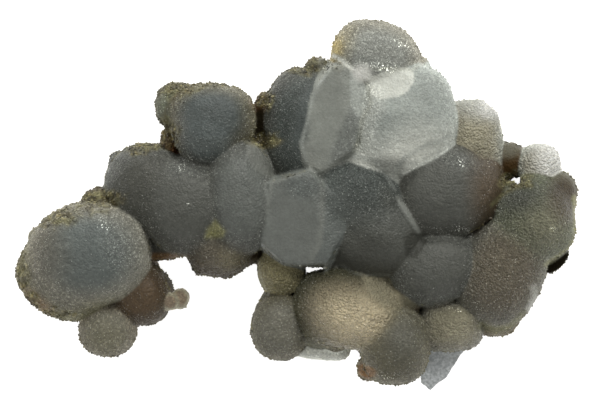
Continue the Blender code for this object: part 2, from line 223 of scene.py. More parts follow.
# flat contact faces: the way each faces, and a point on it from the lobe's centre
facets = {
    "facetLobe": [
        ((-0.20, 0.02, 0.97), (2.8, 0.0, 4.8)), ((0.30, 0.10, 0.95), (2.8, 0.0, 4.8)),
        ((-0.79, 0.61, 0.14), (-3.0, 6.7, 4.0)), ((-0.96, 0.28, 0.14), (-5.1, 1.0, 4.0)),
        ((-0.97, -0.23, 0.14), (-6.2, -7.7, 4.0)), ((0.55, -0.83, 0.30), (0.4, -8.6, 4.0)),
        ((0.96, -0.27, 0.22), (5.6, 0.5, 4.0)), ((1.00, 0.10, 0.22), (6.6, 5.5, 4.0)),
        ((0.05, 1.00, 0.22), (2.8, 9.6, 4.0))],
    "centreFacet": [
        ((-0.22, -0.10, 0.97), (3.4, 0.0, 5.8)), ((0.28, 0.06, 0.95), (3.4, 0.0, 5.8)),
        ((-1.00, 0.06, 0.12), (-7.8, 0.0, 4.0)), ((-0.33, 0.94, 0.15), (-3.0, 8.4, 4.0)),
        ((0.74, 0.67, 0.20), (2.7, 7.6, 4.0)), ((0.87, -0.49, 0.20), (7.0, -4.0, 4.0)),
        ((-0.16, -0.99, 0.12), (-0.6, -9.0, 4.0)), ((-0.69, -0.73, 0.12), (-6.4, -6.6, 4.0))],
    "westFront": [((0.60, 0.33, 0.73), (2.8, 7.8, 5.0))],
    "northDome": [((-0.24, 0.42, 0.88), (-5.2, 6.0, 6.0))],
    "northEastLobe": [((0.64, 0.77, 0.10), (4.6, 7.2, 0.0)), ((0.98, 0.21, 0.10), (6.6, 3.6, 0.0))],
    "glowLobe": [((0.52, 0.46, 0.72), (6.0, 4.0, 3.4))],
}

# lobes that flow into each other: over how many millimetres their shapes do, and their
# colours
families = [
    (("leftDome", "leftSkirt"), 0.5, 1.2),
    (("leftKnob", "leftKnobEast", "leftKnobWest"), 0.9, 0.5),
    (("westCrown", "westCrownNeck"), 0.5, 0.8),
    (("westShoulder", "westLobe", "westRim"), 0.9, 1.0),
    (("westLobe", "westFront", "westUnder"), 0.8, 0.9),
    (("northWestBack", "northWestFront", "northWestLow"), 0.7, 0.7),
    (("northDome", "northApron", "apronTip"), 0.9, 0.8),
    (("centreFacet", "centreDome"), 0.5, 1.3),
    (("centreDome", "centreLow", "centreNeck"), 0.5, 1.1),
    (("eastDome", "eastBrown"), 0.8, 1.1),
    (("eastLobe", "eastLobeNorth"), 1.2, 0.9),
    (("eastLobe", "southEastDome"), 1.0, 0.8),
    (("southEastDome", "southEastFoot", "southEastLink"), 0.9, 0.9),
    (("southEastLobe", "southEastLink"), 0.9, 0.7),
    (("southEastLobe", "southBeadEast"), 0.9, 0.7),
    (("southLobe", "southLobeFoot"), 0.9, 0.7),
    (("southLobe", "glowLobe"), 0.7, 0.5),
    (("southLobe", "southBeadEast"), 0.8, 0.6),
]

# gaps that go right through the plate, in plan
openings = {
    "southSlit": ((1.7, -12.7), (5.3, -12.7), (5.0, -13.4), (3.2, -13.7), (2.6, -14.1),
                  (1.7, -13.9)),
    "eastHole": ((41.9, 4.5), (43.0, 5.2), (44.5, 5.2), (44.7, 3.8), (43.9, 3.5), (43.3, 4.2)),
}

# name: colour of the heart, of the rim, sparkle of the heart and of the rim, 0 to 1
coats = {
    "leftDome": ("slate", "haze", 0.25, 1.0),
    "leftSkirt": ("flint", "olive", 0.6, 1.0),
    "leftKnob": ("olive", "bark", 0.3, 0.6),
    "leftKnobEast": ("olive", "bark", 0.3, 0.6),
    "leftKnobWest": ("olive", "bark", 0.3, 0.6),
    "brownBall": ("chestnut", "bark", 0.3, 0.9),
    "westShoulder": ("umbra", "smoke", 0.3, 0.9),
    "westLobe": ("smoke", "umbra", 0.2, 0.9),
    "westRim": ("umbra", "bronze", 0.3, 0.8),
    "westCrown": ("deepSlate", "moss", 0.2, 1.0),
    "westCrownNeck": ("deepSlate", "umbra", 0.4, 0.9),
    "westFront": ("lead", "smoke", 0.2, 0.8),
    "westUnder": ("taupe", "bark", 0.3, 0.9),
    "northWestBack": ("night", "umbra", 0.4, 0.7),
    "northWestFront": ("night", "night", 0.6, 0.8),
    "northWestLow": ("umbra", "umbra", 0.4, 0.6),
    "northNotch": ("moss", "olive", 0.6, 0.8),
    "pitCrust": ("bark", "pitch", 0.1, 0.2),
    "facetLobe": ("plate", "ash", 0.0, 0.12),
    "northCrown": ("dove", "haze", 0.6, 1.0),
    "northDome": ("pewter", "fog", 0.15, 0.5),
    "northApron": ("dove", "dove", 0.2, 0.6),
    "apronTip": ("dove", "dove", 0.2, 0.5),
    "northEastLobe": ("linen", "pearl", 0.1, 0.6),
    "eastBead": ("umber", "umber", 0.1, 0.4),
    "eastDome": ("smoke", "umbra", 0.15, 0.7),
    "eastBrown": ("umbra", "bark", 0.1, 0.4),
    "middleStrip": ("steel", "steel", 0.0, 0.1),
    "centreFacet": ("steel", "steel", 0.0, 0.3),
    "centreDome": ("night", "night", 0.7, 0.9),
    "centreLow": ("smoke", "dusk", 0.1, 0.3),
    "centreNeck": ("umbra", "bark", 0.1, 0.3),
    "southEastLobe": ("smoke", "smoke", 0.2, 0.9),
    "eastLobe": ("lichen", "lichen", 0.3, 0.9),
    "eastLobeNorth": ("moss", "fern", 0.3, 0.5),
    "eastLedge": ("pitch", "pitch", 0.1, 0.3),
    "southEastDome": ("taupe", "flint", 0.5, 1.0),
    "southEastFoot": ("moss", "bronze", 0.5, 1.0),
    "southEastLink": ("smoke", "umbra", 0.3, 0.8),
    "glowLobe": ("moss", "fern", 0.1, 0.4),
    "southWestLobe": ("flint", "moss", 0.5, 1.0),
    "southBead": ("khaki", "khaki", 0.2, 0.7),
    "glowFoot": ("moss", "fern", 0.3, 0.7),
    "southLobe": ("moss", "moss", 0.4, 0.9),
    "bayLobe": ("moss", "bark", 0.3, 0.6),
    "southLobeFoot": ("rust", "bronze", 0.3, 0.6),
    "southBeadEast": ("sand", "haze", 0.2, 0.8),
    "lowBall": ("haze", "taupe", 0.6, 1.0),
    "beadInner": ("blush", "sand", 0.4, 0.7),
    "beadOuter": ("blush", "sand", 0.4, 0.7),
    "westCrownSmall": ("lichen", "fern", 0.7, 1.0),
    "westCrust": ("rust", "rust", 0.2, 0.3),
    "westUnderEast": ("bark", "bark", 0.3, 0.5),
    "northSpike": ("moss", "bark", 0.3, 0.5),
    "paleBead": ("sand", "pearl", 0.2, 0.6),
    "southLedge": ("milk", "milk", 0.4, 0.6),
}

# how hammered the skin of a lobe looks, 0 to 1, and the least, for the others
dents = {
    "glowLobe": 1.0,
    "northEastLobe": 0.9,
    "paleBead": 0.6,
    "southBead": 0.6,
    "southBeadEast": 0.5,
    "eastLobe": 0.6,
    "southEastDome": 0.4,
    "westUnder": 0.4,
}
leastDents = 0.08

# small groups of crystals that catch the light, where the grains are painted brighter and whiter as
# glints, in plan: middle, radii, turn
glintSpots = {
    "westLobeTop": ((-21.4, 8.6), (0.9, 0.4), 10),
    "westLobeWest": ((-23.0, 7.0), (0.5, 0.7), 0),
    "westLobeEast": ((-21.6, -0.4), (0.3, 0.4), 0),
    "eastDomeTop": ((32.2, 7.8), (1.6, 0.5), -52),
    "eastBrownTop": ((38.1, 8.0), (0.4, 1.2), 0),
    "southEastTop": ((32.0, -5.0), (1.8, 0.5), -12),
    "southEastSide": ((34.2, -6.2), (0.9, 0.4), -30),
    "southFoot": ((17.6, -34.4), (1.8, 0.5), -5),
    "crownFoot": ((17.2, 26.8), (2.4, 0.9), -15),
    "crownTop": ((20.6, 31.4), (2.0, 1.0), -30),
    "beadEastTop": ((31.8, -21.4), (1.6, 0.5), -10),
    "leftKnobs": ((-38.4, -4.4), (2.0, 0.9), -25),
    "eastLobeSide": ((50.4, -5.2), (1.4, 0.6), 20),
    "eastLobeRim": ((53.4, -3.6), (0.5, 0.5), 0),
}

# stains, clear windows, pale seams and painted light in plan. Some entries paint light:
# glows where light comes through thin or clear stone, highlights, and paler colour that lifts
# the shade in notches and on a steep slope. A spot has its middle (at), its two radii
# (size) and a turn; a patch has an outline; a seam has a line and its width (wide). Then
# come the colour, how much of it shows (share), how soft the border is (soft: a share of
# the spot, or millimetres), the sparkle there (frost) and the lobes that take it (on).
stainsAndPaintedLight = {
    # painted glow: light from the floor that comes through the thin lobe
    "warmGlow": dict(at=(11.6, -23.3), size=(7.2, 4.8), turn=-20, colour="butter", share=1.0,
                     soft=0.95, on=("glowLobe",)),
    # painted light: the face's pale colour is light that comes through the clear stone
    "clearFace": dict(outline=((12.6, -13.6), (18.4, -14.2), (19.8, -17.0), (20.8, -20.4),
                               (17.4, -20.6), (14.6, -18.4), (13.2, -16.0)), colour="glass",
                      share=0.9, soft=0.8, frost=0.0, on=("glowLobe", "bayLobe")),
    "oliveSpot": dict(outline=((-16.2, -3.4), (-14.2, -5.6), (-14.8, -6.8), (-18.4, -7.0),
                               (-17.8, -5.2)), colour="lime", share=0.8, soft=0.6),
    # painted light: a pale patch where light comes through thin stone
    "paintedBacklitPatch": dict(outline=((13.6, 25.8), (15.0, 25.0), (18.6, 26.6), (22.0, 26.6), (23.0, 25.6),
                               (23.0, 23.8), (21.6, 21.8), (19.8, 20.8), (16.0, 20.4), (14.6, 21.2),
                               (13.8, 23.6)), colour="milk", share=0.78, soft=0.2, frost=0.0,
                      on=("northDome", "facetLobe", "northCrown")),
    "amberRim": dict(at=(6.8, 30.2), size=(1.6, 2.6), turn=-16, colour="amber", share=0.7, soft=0.8,
                     on=("northCrown",)),
    "rustRim": dict(at=(-27.4, -11.0), size=(5.0, 0.9), colour="toffee", share=0.7, soft=0.6,
                    on=("westShoulder", "westRim", "westLobe")),
    "underGold": dict(at=(-12.6, -11.2), size=(2.8, 2.2), colour="khaki", share=0.4, soft=0.9,
                      on=("westUnder",)),
    "eastRed": dict(at=(53.2, 0.8), size=(3.8, 4.8), colour="bark", share=0.95, soft=0.5,
                    frost=0.1, on=("eastLobe", "eastLobeNorth")),
    "limeEdge": dict(line=((55.4, 1.0), (55.6, -2.6), (55.6, -6.6), (54.2, -9.2), (51.8, -11.0),
                           (49.8, -12.2)), wide=0.55, colour="lime", share=0.8, soft=0.6),
    # painted light: a pale band where light comes through the clear rim of the dome
    "clearRim": dict(line=((46.9, -16.8), (47.2, -19.0), (46.2, -21.0)), wide=0.7, colour="chalk",
                     share=0.65, soft=0.7, frost=0.0, on=("southEastDome",)),
    "limeFoot": dict(line=((36.8, -24.6), (40.0, -25.6), (42.6, -24.6), (45.2, -22.2)), wide=0.7,
                     colour="lime", share=0.5, soft=0.7),
    "ledgeBlack": dict(outline=((54.6, -9.6), (55.4, -11.0), (53.6, -13.0), (51.0, -15.0),
                                (48.4, -15.4), (49.2, -13.2), (51.2, -12.2), (52.8, -11.0)),
                       colour="pitch", share=0.95, soft=0.35, frost=0.0, on=("eastLedge",)),
    "eastLight": dict(at=(49.0, -4.6), size=(5.0, 5.0), turn=-20, colour="sand", share=0.45,
                      soft=0.9, on=("eastLobe",)),
    "eastDark": dict(at=(44.0, 1.0), size=(4.6, 2.8), turn=20, colour="smoke", share=0.8, soft=0.9,
                     on=("eastLobe",)),
    "southEastBrown": dict(at=(41.2, -13.0), size=(5.0, 4.4), colour="taupe", share=0.8, soft=0.9,
                           on=("southEastDome",)),
    # painted light: the pale top and the clear corner of this lobe are light that comes through thin
    # stone
    "paleTop": dict(at=(36.0, 19.4), size=(5.0, 3.0), turn=-10, colour="chalk", share=0.9, soft=0.7,
                    on=("northEastLobe",)),
    "clearCorner": dict(at=(39.0, 19.0), size=(2.8, 2.2), colour="snow", share=0.95, soft=0.6,
                        on=("northEastLobe",)),
    "brownCorner": dict(at=(36.2, 7.2), size=(6.0, 3.0), turn=-20, colour="taupe", share=0.75,
                        soft=0.6, on=("northEastLobe",)),
    "greyCorner": dict(at=(31.6, 16.6), size=(1.8, 3.4), colour="haze", share=0.5, soft=0.7,
                       on=("northEastLobe",)),
    "beadTop": dict(at=(42.8, 11.2), size=(3.4, 2.0), turn=20, colour="fern", share=0.7, soft=0.6,
                    on=("eastBead",)),
    # painted light: the bead's bright side is light that comes through thin stone
    "brightBead": dict(at=(51.2, 8.4), size=(4.2, 5.0), colour="snow", share=0.95, soft=0.7,
                       on=("paleBead",)),
    "orangeFoot": dict(at=(13.8, -33.8), size=(1.8, 1.3), colour="toffee", share=0.85),
    "southHeart": dict(at=(21.0, -27.4), size=(3.8, 4.8), colour="smoke", share=0.6, soft=0.9,
                       on=("southLobe",)),
    # painted highlight along the top edge of the lobe
    "southTopHighlight": dict(line=((17.0, -21.8), (20.0, -20.8), (23.0, -21.8)), wide=0.3, colour="hay",
                     share=0.5, soft=0.4, on=("southLobe",)),
    "leftRust": dict(at=(-52.6, -20.0), size=(4.0, 1.8), turn=-36, colour="rust", share=0.5,
                     soft=0.8),
    "warmLeft": dict(at=(-50.0, -10.6), size=(4.0, 6.4), colour="taupe", share=0.5, soft=0.8,
                     on=("leftDome",)),
    # painted light: the right face of the facet is painted lighter, as it faces the light
    "rightFaceLit": dict(outline=((10.4, 26.4), (13.6, 26.0), (14.0, 23.6), (14.4, 19.6), (12.6, 16.4),
                               (11.2, 16.6), (10.4, 19.6)), colour="silver", share=0.9, soft=0.2,
                      frost=0.25, on=("facetLobe",)),
    "domeLeft": dict(line=((14.8, 21.4), (15.0, 19.0), (13.6, 16.0), (13.4, 12.6), (12.4, 10.4)),
                     wide=2.0, colour="milk", share=0.4, soft=1.6, frost=0.4, on=("northDome",)),
    # painted light: paler colour that lifts the shade on the dome's steep lower slope
    "domeLowPaintedLight": dict(at=(21.4, 9.0), size=(8.6, 4.6), turn=20, colour="milk", share=0.9, soft=0.9,
                    on=("northDome", "northApron")),
    "pitGold": dict(at=(-7.6, 20.6), size=(1.6, 2.0), colour="rust", share=0.7, soft=0.6),
    "pitLedge": dict(at=(-6.4, 12.2), size=(2.6, 1.1), colour="gold", share=0.6, soft=0.6),
    "domeTop": dict(at=(22.0, 18.6), size=(7.0, 4.6), turn=-20, colour="milk", share=0.12, soft=0.9,
                    on=("northDome",)),
    "lowFace": dict(outline=((10.4, 18.6), (12.6, 16.2), (12.4, 13.2), (11.6, 10.4), (10.4, 9.6),
                             (7.6, 8.2), (6.4, 7.6), (7.0, 11.0), (8.6, 15.0)), colour="steel",
                    share=0.8, soft=0.9, frost=0.4, on=("facetLobe",)),
    "frontFace": dict(outline=((-10.2, 12.8), (-8.4, 11.4), (-5.8, 8.2), (-4.6, 6.0), (-6.0, 5.2),
                               (-8.8, 6.8), (-9.8, 9.4)), colour="ash", share=0.5, soft=0.25,
                      frost=0.0, on=("westFront",)),
    "stripFace": dict(outline=((19.2, 1.4), (20.0, 1.4), (22.4, -2.2), (24.6, -5.8), (23.8, -6.2),
                               (21.0, -2.2)), colour="ash", share=0.6, soft=0.3, frost=0.0),
    "darkPolygon": dict(outline=((20.8, -6.8), (22.6, -5.8), (24.8, -6.2), (25.8, -7.6),
                                 (23.6, -11.0), (21.4, -10.6)), colour="ink", share=0.8, soft=0.4,
                        frost=0.0, on=("centreLow", "southEastLobe")),
    "lowDark": dict(at=(11.6, -8.4), size=(7.0, 4.6), colour="dusk", share=0.7, soft=0.8,
                    on=("centreLow",)),
    "pitDark": dict(at=(-7.0, 16.2), size=(2.6, 3.8), colour="pitch", share=0.95, soft=0.5,
                    on=("pitCrust",)),
    "tealBand": dict(at=(1.6, 17.6), size=(1.8, 7.0), turn=-10, colour="deepSlate", share=0.6,
                     soft=0.6, frost=0.2, on=("northWestFront",)),
    "goldenBall": dict(at=(-38.4, -28.0), size=(5.0, 4.6), colour="olive", share=0.45, soft=0.8,
                       on=("lowBall",)),
    "blueSpeckle": dict(at=(1.0, 3.2), size=(3.4, 2.2), colour="slate", share=0.5, soft=0.6,
                        frost=0.5, on=("centreFacet",)),
    # frosted grains, with paler colour painted where they sparkle in the light: painted highlights
    "leftSparkle": dict(at=(-33.6, -7.0), size=(4.2, 8.4), turn=12, colour="ash", share=0.3,
                       soft=0.5, frost=1.0, on=("leftDome",)),
    "westTopSparkle": dict(at=(-21.6, 7.4), size=(6.0, 2.4), colour="steel", share=0.35, soft=0.5,
                           frost=1.0, on=("westLobe",)),
    "eastTopSparkle": dict(at=(32.0, 8.4), size=(4.4, 1.8), turn=-20, colour="steel", share=0.3,
                           soft=0.5, frost=1.0, on=("eastDome",)),
    "brownSide": dict(at=(37.8, 2.6), size=(3.6, 7.0), colour="chestnut", share=0.75, soft=0.8,
                      on=("eastDome", "eastBrown")),
    "slopeFace": dict(outline=((5.4, 5.4), (7.0, 5.2), (9.6, 1.0), (11.2, -3.0), (9.0, -7.4),
                               (6.6, -11.8), (3.0, -11.6), (5.0, -8.0), (5.4, -2.0)),
                      colour="deepSlate", share=0.45, soft=0.35, frost=0.2, on=("centreFacet",)),
    "tealSlope": dict(at=(8.0, 2.2), size=(3.0, 4.6), turn=14, colour="night", share=0.85, soft=0.9,
                      frost=0.6, on=("centreFacet",)),
    "stripDark": dict(at=(18.4, -0.6), size=(1.8, 3.6), turn=20, colour="umbra", share=0.5,
                      soft=0.8, on=("centreDome",)),
    "crownGold": dict(at=(7.4, 31.6), size=(3.0, 4.6), turn=-16, colour="gold", share=0.36,
                      soft=0.8, frost=1.0, on=("northCrown",)),
    # frosted grains at the crown's foot, with paler colour painted where they sparkle: a painted
    # highlight
    "crownFoot": dict(at=(14.0, 27.4), size=(4.0, 1.4), turn=-10, colour="silver", share=0.3,
                      soft=0.6, frost=1.0, on=("northCrown",)),
    "facetEdge": dict(line=((8.2, 28.2), (5.4, 25.0), (3.8, 22.4), (2.8, 19.6), (2.2, 16.8),
                            (1.2, 13.4), (0.8, 11.8), (1.4, 9.6), (2.0, 6.8), (4.6, 5.8),
                            (6.4, 7.2)), wide=0.32, colour="silver", share=0.55, soft=0.3),
    "crownSeam": dict(line=((7.2, 29.2), (8.6, 28.4), (10.8, 26.4), (12.2, 26.0), (13.6, 26.4)),
                      wide=0.45, colour="milk", share=0.9, soft=0.3, frost=0.2),
    "crownSeamEast": dict(line=((13.6, 26.4), (18.2, 26.4), (22.6, 26.2), (25.4, 28.0)),
                          wide=0.3, colour="pearl", share=0.6, soft=0.3, frost=0.4),
    # painted light: pale colour that lifts the shade in the notch where crown, facet and dome meet
    "seamPaintedLight": dict(at=(12.8, 25.7), size=(1.6, 1.5), colour="snow", share=0.9, soft=0.7,
                     frost=0.0),
    "smallSeam": dict(line=((-26.4, 15.4), (-26.4, 17.4), (-25.4, 20.4), (-23.8, 22.0),
                            (-20.8, 23.4)), wide=0.5, colour="bark", share=0.6, soft=0.5,
                      frost=0.3),
    # painted light: pale colour that lifts the shade in the notch between the domes
    "apronPaintedLight": dict(outline=((13.6, 8.8), (21.4, 8.6), (20.6, 5.4), (19.6, 2.2), (18.2, 3.6),
                                (16.6, 6.0), (13.8, 7.6)), colour="dove", share=0.75, soft=0.6,
                       frost=0.3, on=("eastDome", "northApron", "northDome", "apronTip")),
    "seamBrown": dict(line=((41.0, 4.0), (39.4, 1.0), (38.0, -2.0), (35.6, -5.4)), wide=0.9,
                      colour="bark", share=0.6, soft=0.8, frost=0.2),
    "lobeTopLime": dict(line=((38.6, -0.4), (40.0, 1.0), (41.6, 2.2), (43.6, 3.2), (46.4, 3.4)),
                        wide=0.4, colour="olive", share=0.8, soft=0.4),
    "domeEdge": dict(line=((13.8, 23.6), (14.4, 19.6), (12.8, 16.4), (12.4, 13.2), (11.4, 10.4)),
                     wide=0.45, colour="pearl", share=0.6, soft=0.4, frost=1.0),
    "domeFoot": dict(line=((19.4, 6.6), (21.2, 9.0), (23.6, 10.4), (25.8, 11.6), (28.6, 12.2),
                           (30.2, 13.8)), wide=0.4, colour="silver", share=0.5, soft=0.4),
    "apronSeam": dict(line=((11.0, 9.2), (15.0, 8.4), (17.4, 5.6), (19.2, 2.8)),
                      wide=0.35, colour="silver", share=0.45, soft=0.4),
    "facetTop": dict(line=((-4.6, 4.0), (-0.8, 5.6), (2.0, 6.6), (4.6, 5.6), (7.0, 7.6),
                           (9.8, 8.2)), wide=0.35, colour="ash", share=0.5, soft=0.4),
    # painted highlight along the ridge of the facet
    "facetRidgeHighlight": dict(line=((4.8, 4.6), (5.0, 1.0), (4.8, -4.0), (4.2, -8.0), (2.6, -11.4)),
                       wide=0.5, colour="ash", share=0.4, soft=0.7),
    "frontEdge": dict(line=((-8.4, 11.8), (-5.8, 8.4), (-4.6, 6.0), (-5.6, 1.0), (-6.0, -1.8)),
                      wide=0.3, colour="ash", share=0.4, soft=0.3),
    "glowTop": dict(line=((6.6, -12.8), (9.2, -12.6), (11.2, -14.0), (13.6, -14.4), (18.2, -14.4)),
                    wide=0.3, colour="ash", share=0.4, soft=0.3),
}

# crust of small grains in plan: centre, radii, how much shows
crustZones = {
    "leftTop": ((-40.2, 0.6), (5.0, 2.2), 1.0),
    "leftWest": ((-47.8, -2.6), (4.0, 2.0), 0.9),
    "leftEdge": ((-55.6, -14.0), (1.8, 5.0), 0.7),
    "leftLow": ((-53.4, -19.4), (2.2, 1.8), 0.9),
    "leftFoot": ((-48.4, -22.4), (3.8, 1.1), 0.8),
    "westTop": ((-31.0, 12.0), (5.6, 1.8), 0.9),
    "smallCrown": ((-24.2, 23.4), (4.6, 2.4), 0.8),
    "crownTop": ((-17.0, 24.4), (7.0, 1.2), 0.45),
    "northWestTop": ((2.0, 27.6), (7.0, 1.8), 0.7),
    "pit": ((-6.6, 20.6), (1.6, 2.0), 1.0),
    "pitFloor": ((-6.4, 12.4), (3.4, 1.3), 1.0),
    "crownBridge": ((-26.2, 13.8), (2.4, 2.8), 1.0),
    "hole": ((43.6, 4.4), (3.4, 1.4), 1.0),
}


def meshOf(body, name):
    # a finished bmesh as a mesh
    mesh = bpy.data.meshes.new(name)
    body.to_mesh(mesh)
    body.free()
    return mesh


def newPiece(name, mesh):
    piece = bpy.data.objects.new(name, mesh)
    bpy.context.scene.collection.objects.link(piece)
    return piece


def applyModifiers(piece):
    # the piece keeps what its modifiers make of it
    graph = bpy.context.evaluated_depsgraph_get()
    made = bpy.data.meshes.new_from_object(piece.evaluated_get(graph))
    old = piece.data
    piece.modifiers.clear()
    piece.data = made
    bpy.data.meshes.remove(old)


def voxelFuse(piece, grid):
    # overlapping shells become one even skin
    remesh = piece.modifiers.new("fuse", "REMESH")
    remesh.mode = "VOXEL"
    remesh.voxel_size = grid
    applyModifiers(piece)


def weightGroup(piece, name, values):
    # a vertex group that says how strongly a modifier acts at each point
    group = piece.vertex_groups.new(name=name)
    for index, value in enumerate(values):
        group.add([index], value, "REPLACE")
    return group.name


def vectorsOf(source, what):
    values = numpy.empty(len(source) * 3, numpy.float32)
    source.foreach_get(what, values)
    return values.reshape(-1, 3).astype(float)


def pointsOf(mesh):
    return vectorsOf(mesh.vertices, "co")


def normalsOf(mesh):
    return vectorsOf(mesh.vertex_normals, "vector")


def movePoints(mesh, points):
    mesh.vertices.foreach_set("co", points.astype(numpy.float32).ravel())
    mesh.update()


def ramp(value, low, high):
    # smooth step from 0 at low to 1 at high
    share = numpy.clip((value - low) / (high - low), 0, 1)
    return share * share * (3 - 2 * share)


def noiseAt(points, size, seed):
    shift = Vector((seed, seed * 1.7, seed * 0.6))
    return numpy.array([noise.noise(Vector(point) / size + shift) for point in points])


def linear(colour):
    # a colour as it looks, 0 to 255, turned to Blender's linear values
    share = numpy.array(colour, float) / 255
    return numpy.where(share <= 0.04045, share / 12.92, ((share + 0.055) / 1.055) ** 2.4)


# the lobes and their fusing

def lobePoint(direction, radii, down, squareness):
    # a point of the unit icosphere carried onto the lobe's rounded form
    plan = abs(direction.x) ** squareness + abs(direction.y) ** squareness
    length = plan ** (form["bulge"] / squareness) + abs(direction.z) ** form["bulge"]
    scaled = direction * length ** (-1 / form["bulge"])
    up = radii[2] if direction.z > 0 else down
    return Vector((scaled.x * radii[0], scaled.y * radii[1], scaled.z * up))


def underside(centre, radii):
    # how far a lobe reaches below its centre
    return min(centre[2] + form["footDepth"], form["roundness"] * max(radii[:2]))


def addLobe(shells, centre, radii, turn, squareness, down, faces=()):
    centre = Vector(centre)
    detail = form["fineDetail"] if max(radii) > form["fineLobe"] else form["detail"]
    lobe = bmesh.new()
    bmesh.ops.create_icosphere(lobe, subdivisions=detail, radius=1)
    spin = Matrix.Rotation(math.radians(turn), 3, "Z")
    for vert in lobe.verts:
        place = centre + spin @ lobePoint(vert.co.normalized(), radii, down, squareness)
        swell = noise.noise(place / form["swellSize"]) * form["swellDepth"]
        vert.co = place + (place - centre).normalized() * swell
    for facing, offset in faces:
        facing = Vector(facing).normalized()
        for vert in lobe.verts:
            proud = (vert.co - centre - Vector(offset)).dot(facing)
            vert.co -= facing * max(proud, 0) * form["press"]
    loose = meshOf(lobe, "lobe")
    shells.from_mesh(loose)
    bpy.data.meshes.remove(loose)


def addBuds(shells, centre, radii, turn, rng):
    # small balls round the lower flank of a lobe
    if min(radii[:2]) < form["budHost"]:
        return
    down = underside(centre, radii)
    count = int(math.pi * (radii[0] + radii[1]) / form["budSpacing"])
    for step in range(count):
        angle = math.tau * (step + rng.uniform(-form["budStray"], form["budStray"])) / count
        height = rng.uniform(form["budLevels"][0], centre[2] * form["budLevels"][1])
        size = rng.uniform(*form["budRadii"])
        depth = min((centre[2] - height) / down, 1)
        reach = (1 - depth ** form["bulge"]) ** (1 / form["bulge"])
        arm = Vector((radii[0] * reach * math.cos(angle), radii[1] * reach * math.sin(angle), 0))
        arm.rotate(Matrix.Rotation(math.radians(turn), 3, "Z"))
        arm *= max(1 - size / 2 / max(arm.length, size), 0)
        ball = (size * rng.uniform(*form["budStretch"]), size * rng.uniform(*form["budStretch"]), size)
        addLobe(shells, (centre[0] + arm.x, centre[1] + arm.y, height), ball, 0, 2.0, size)


def fuseLobes():
    rng = random.Random(form["budSeed"])
    shells = bmesh.new()
    for name, (centre, radii, turn, squareness) in lobes.items():
        down = underside(centre, radii)
        addLobe(shells, centre, radii, turn, squareness, down, facets.get(name, ()))
        addBuds(shells, centre, radii, turn, rng)
    for centre, radii, turn, squareness in hanging.values():
        addLobe(shells, centre, radii, turn, squareness, radii[2])
    for (x, y), (wide, deep), height in roots.values():
        addLobe(shells, (x, y, 0), (wide, deep, height), 0, form["bulge"], form["footDepth"])
    stone = newPiece("chalcedonyStone", meshOf(shells, "stone"))
    voxelFuse(stone, form["grid"])
    return stone


def dropIslands(body):
    # leaves only the largest connected skin
    islands = []
    unseen = set(body.verts)
    while unseen:
        front = [unseen.pop()]
        island = []
        while front:
            vert = front.pop()
            island.append(vert)
            near = {edge.other_vert(vert) for edge in vert.link_edges} & unseen
            unseen -= near
            front.extend(near)
        islands.append(island)
    islands.sort(key=len)
    for island in islands[:-1]:
        bmesh.ops.delete(body, geom=island, context="VERTS")


def openGaps(stone):
    # The skin inside an opening is pushed below the resting plane, where the cut takes it.
    # It is pushed along the line of sight, so that the gap is open right through.
    points = pointsOf(stone.data)
    lean = 1 + (points[:, 2] - studio["midHeight"])[:, None] / studio["reachMm"]
    seen = points[:, :2] * lean
    for outline in openings.values():
        cover = coverOf(seen, {"outline": outline, "soft": form["openSoft"]})[:, None]
        points[:, :2] += points[:, :2] * cover * form["openDepth"] / studio["reachMm"]
        points[:, 2:] -= cover * form["openDepth"]
    movePoints(stone.data, points)


def cutBack(stone):
    # everything below the resting plane goes, and the flat back closes the stone
    body = bmesh.new()
    body.from_mesh(stone.data)
    dropIslands(body)
    everything = body.verts[:] + body.edges[:] + body.faces[:]
    cut = bmesh.ops.bisect_plane(
        body, geom=everything, plane_co=(0, 0, 0), plane_no=(0, 0, -1), clear_outer=True)
    rim = [edge for edge in cut["geom_cut"] if isinstance(edge, bmesh.types.BMEdge)]
    filled = bmesh.ops.triangle_fill(body, edges=rim, use_beauty=True, normal=(0, 0, -1))
    for face in filled["geom"]:
        if isinstance(face, bmesh.types.BMFace):
            face.material_index = 1
    dropIslands(body)
    body.to_mesh(stone.data)
    body.free()


# the skin: its fine shape, in millimetres

relief = {
    "fillet": 0.5,         # how far the skin fills the creases between lobes
    "evening": 24,         # how often the skin's directions are evened out before that
    "settle": 10,          # how often the creases are smoothed afterwards
    "settleFactor": 0.8,
    "calm": 0.7,           # how much of that smoothing the rest of the skin gets
    "faceUp": 0.6,         # contact faces that look up more than this are smooth
    "faceSmooth": 0.7,     # how smooth they are
    "lumpDepth": 0.14,
    "peelDepth": 0.07,
    "peelPolished": 0.6,   # how much less of it a contact face has
    "peelHammered": 1.4,   # how much more of it a hammered lobe has
    "crustDepth": 0.45,
}

# noise on the skin: spacing in millimetres, seed
swells = {
    "lump": (3.1, 0.0),
    "peel": (0.9, 5.0),
    "crust": (1.25, 9.0),
    "raggedEast": (1.6, 4.0),
    "raggedNorth": (1.6, 6.0),
    "blotch": (1.5, 3.0),
    "golden": (0.8, 12.0),
}

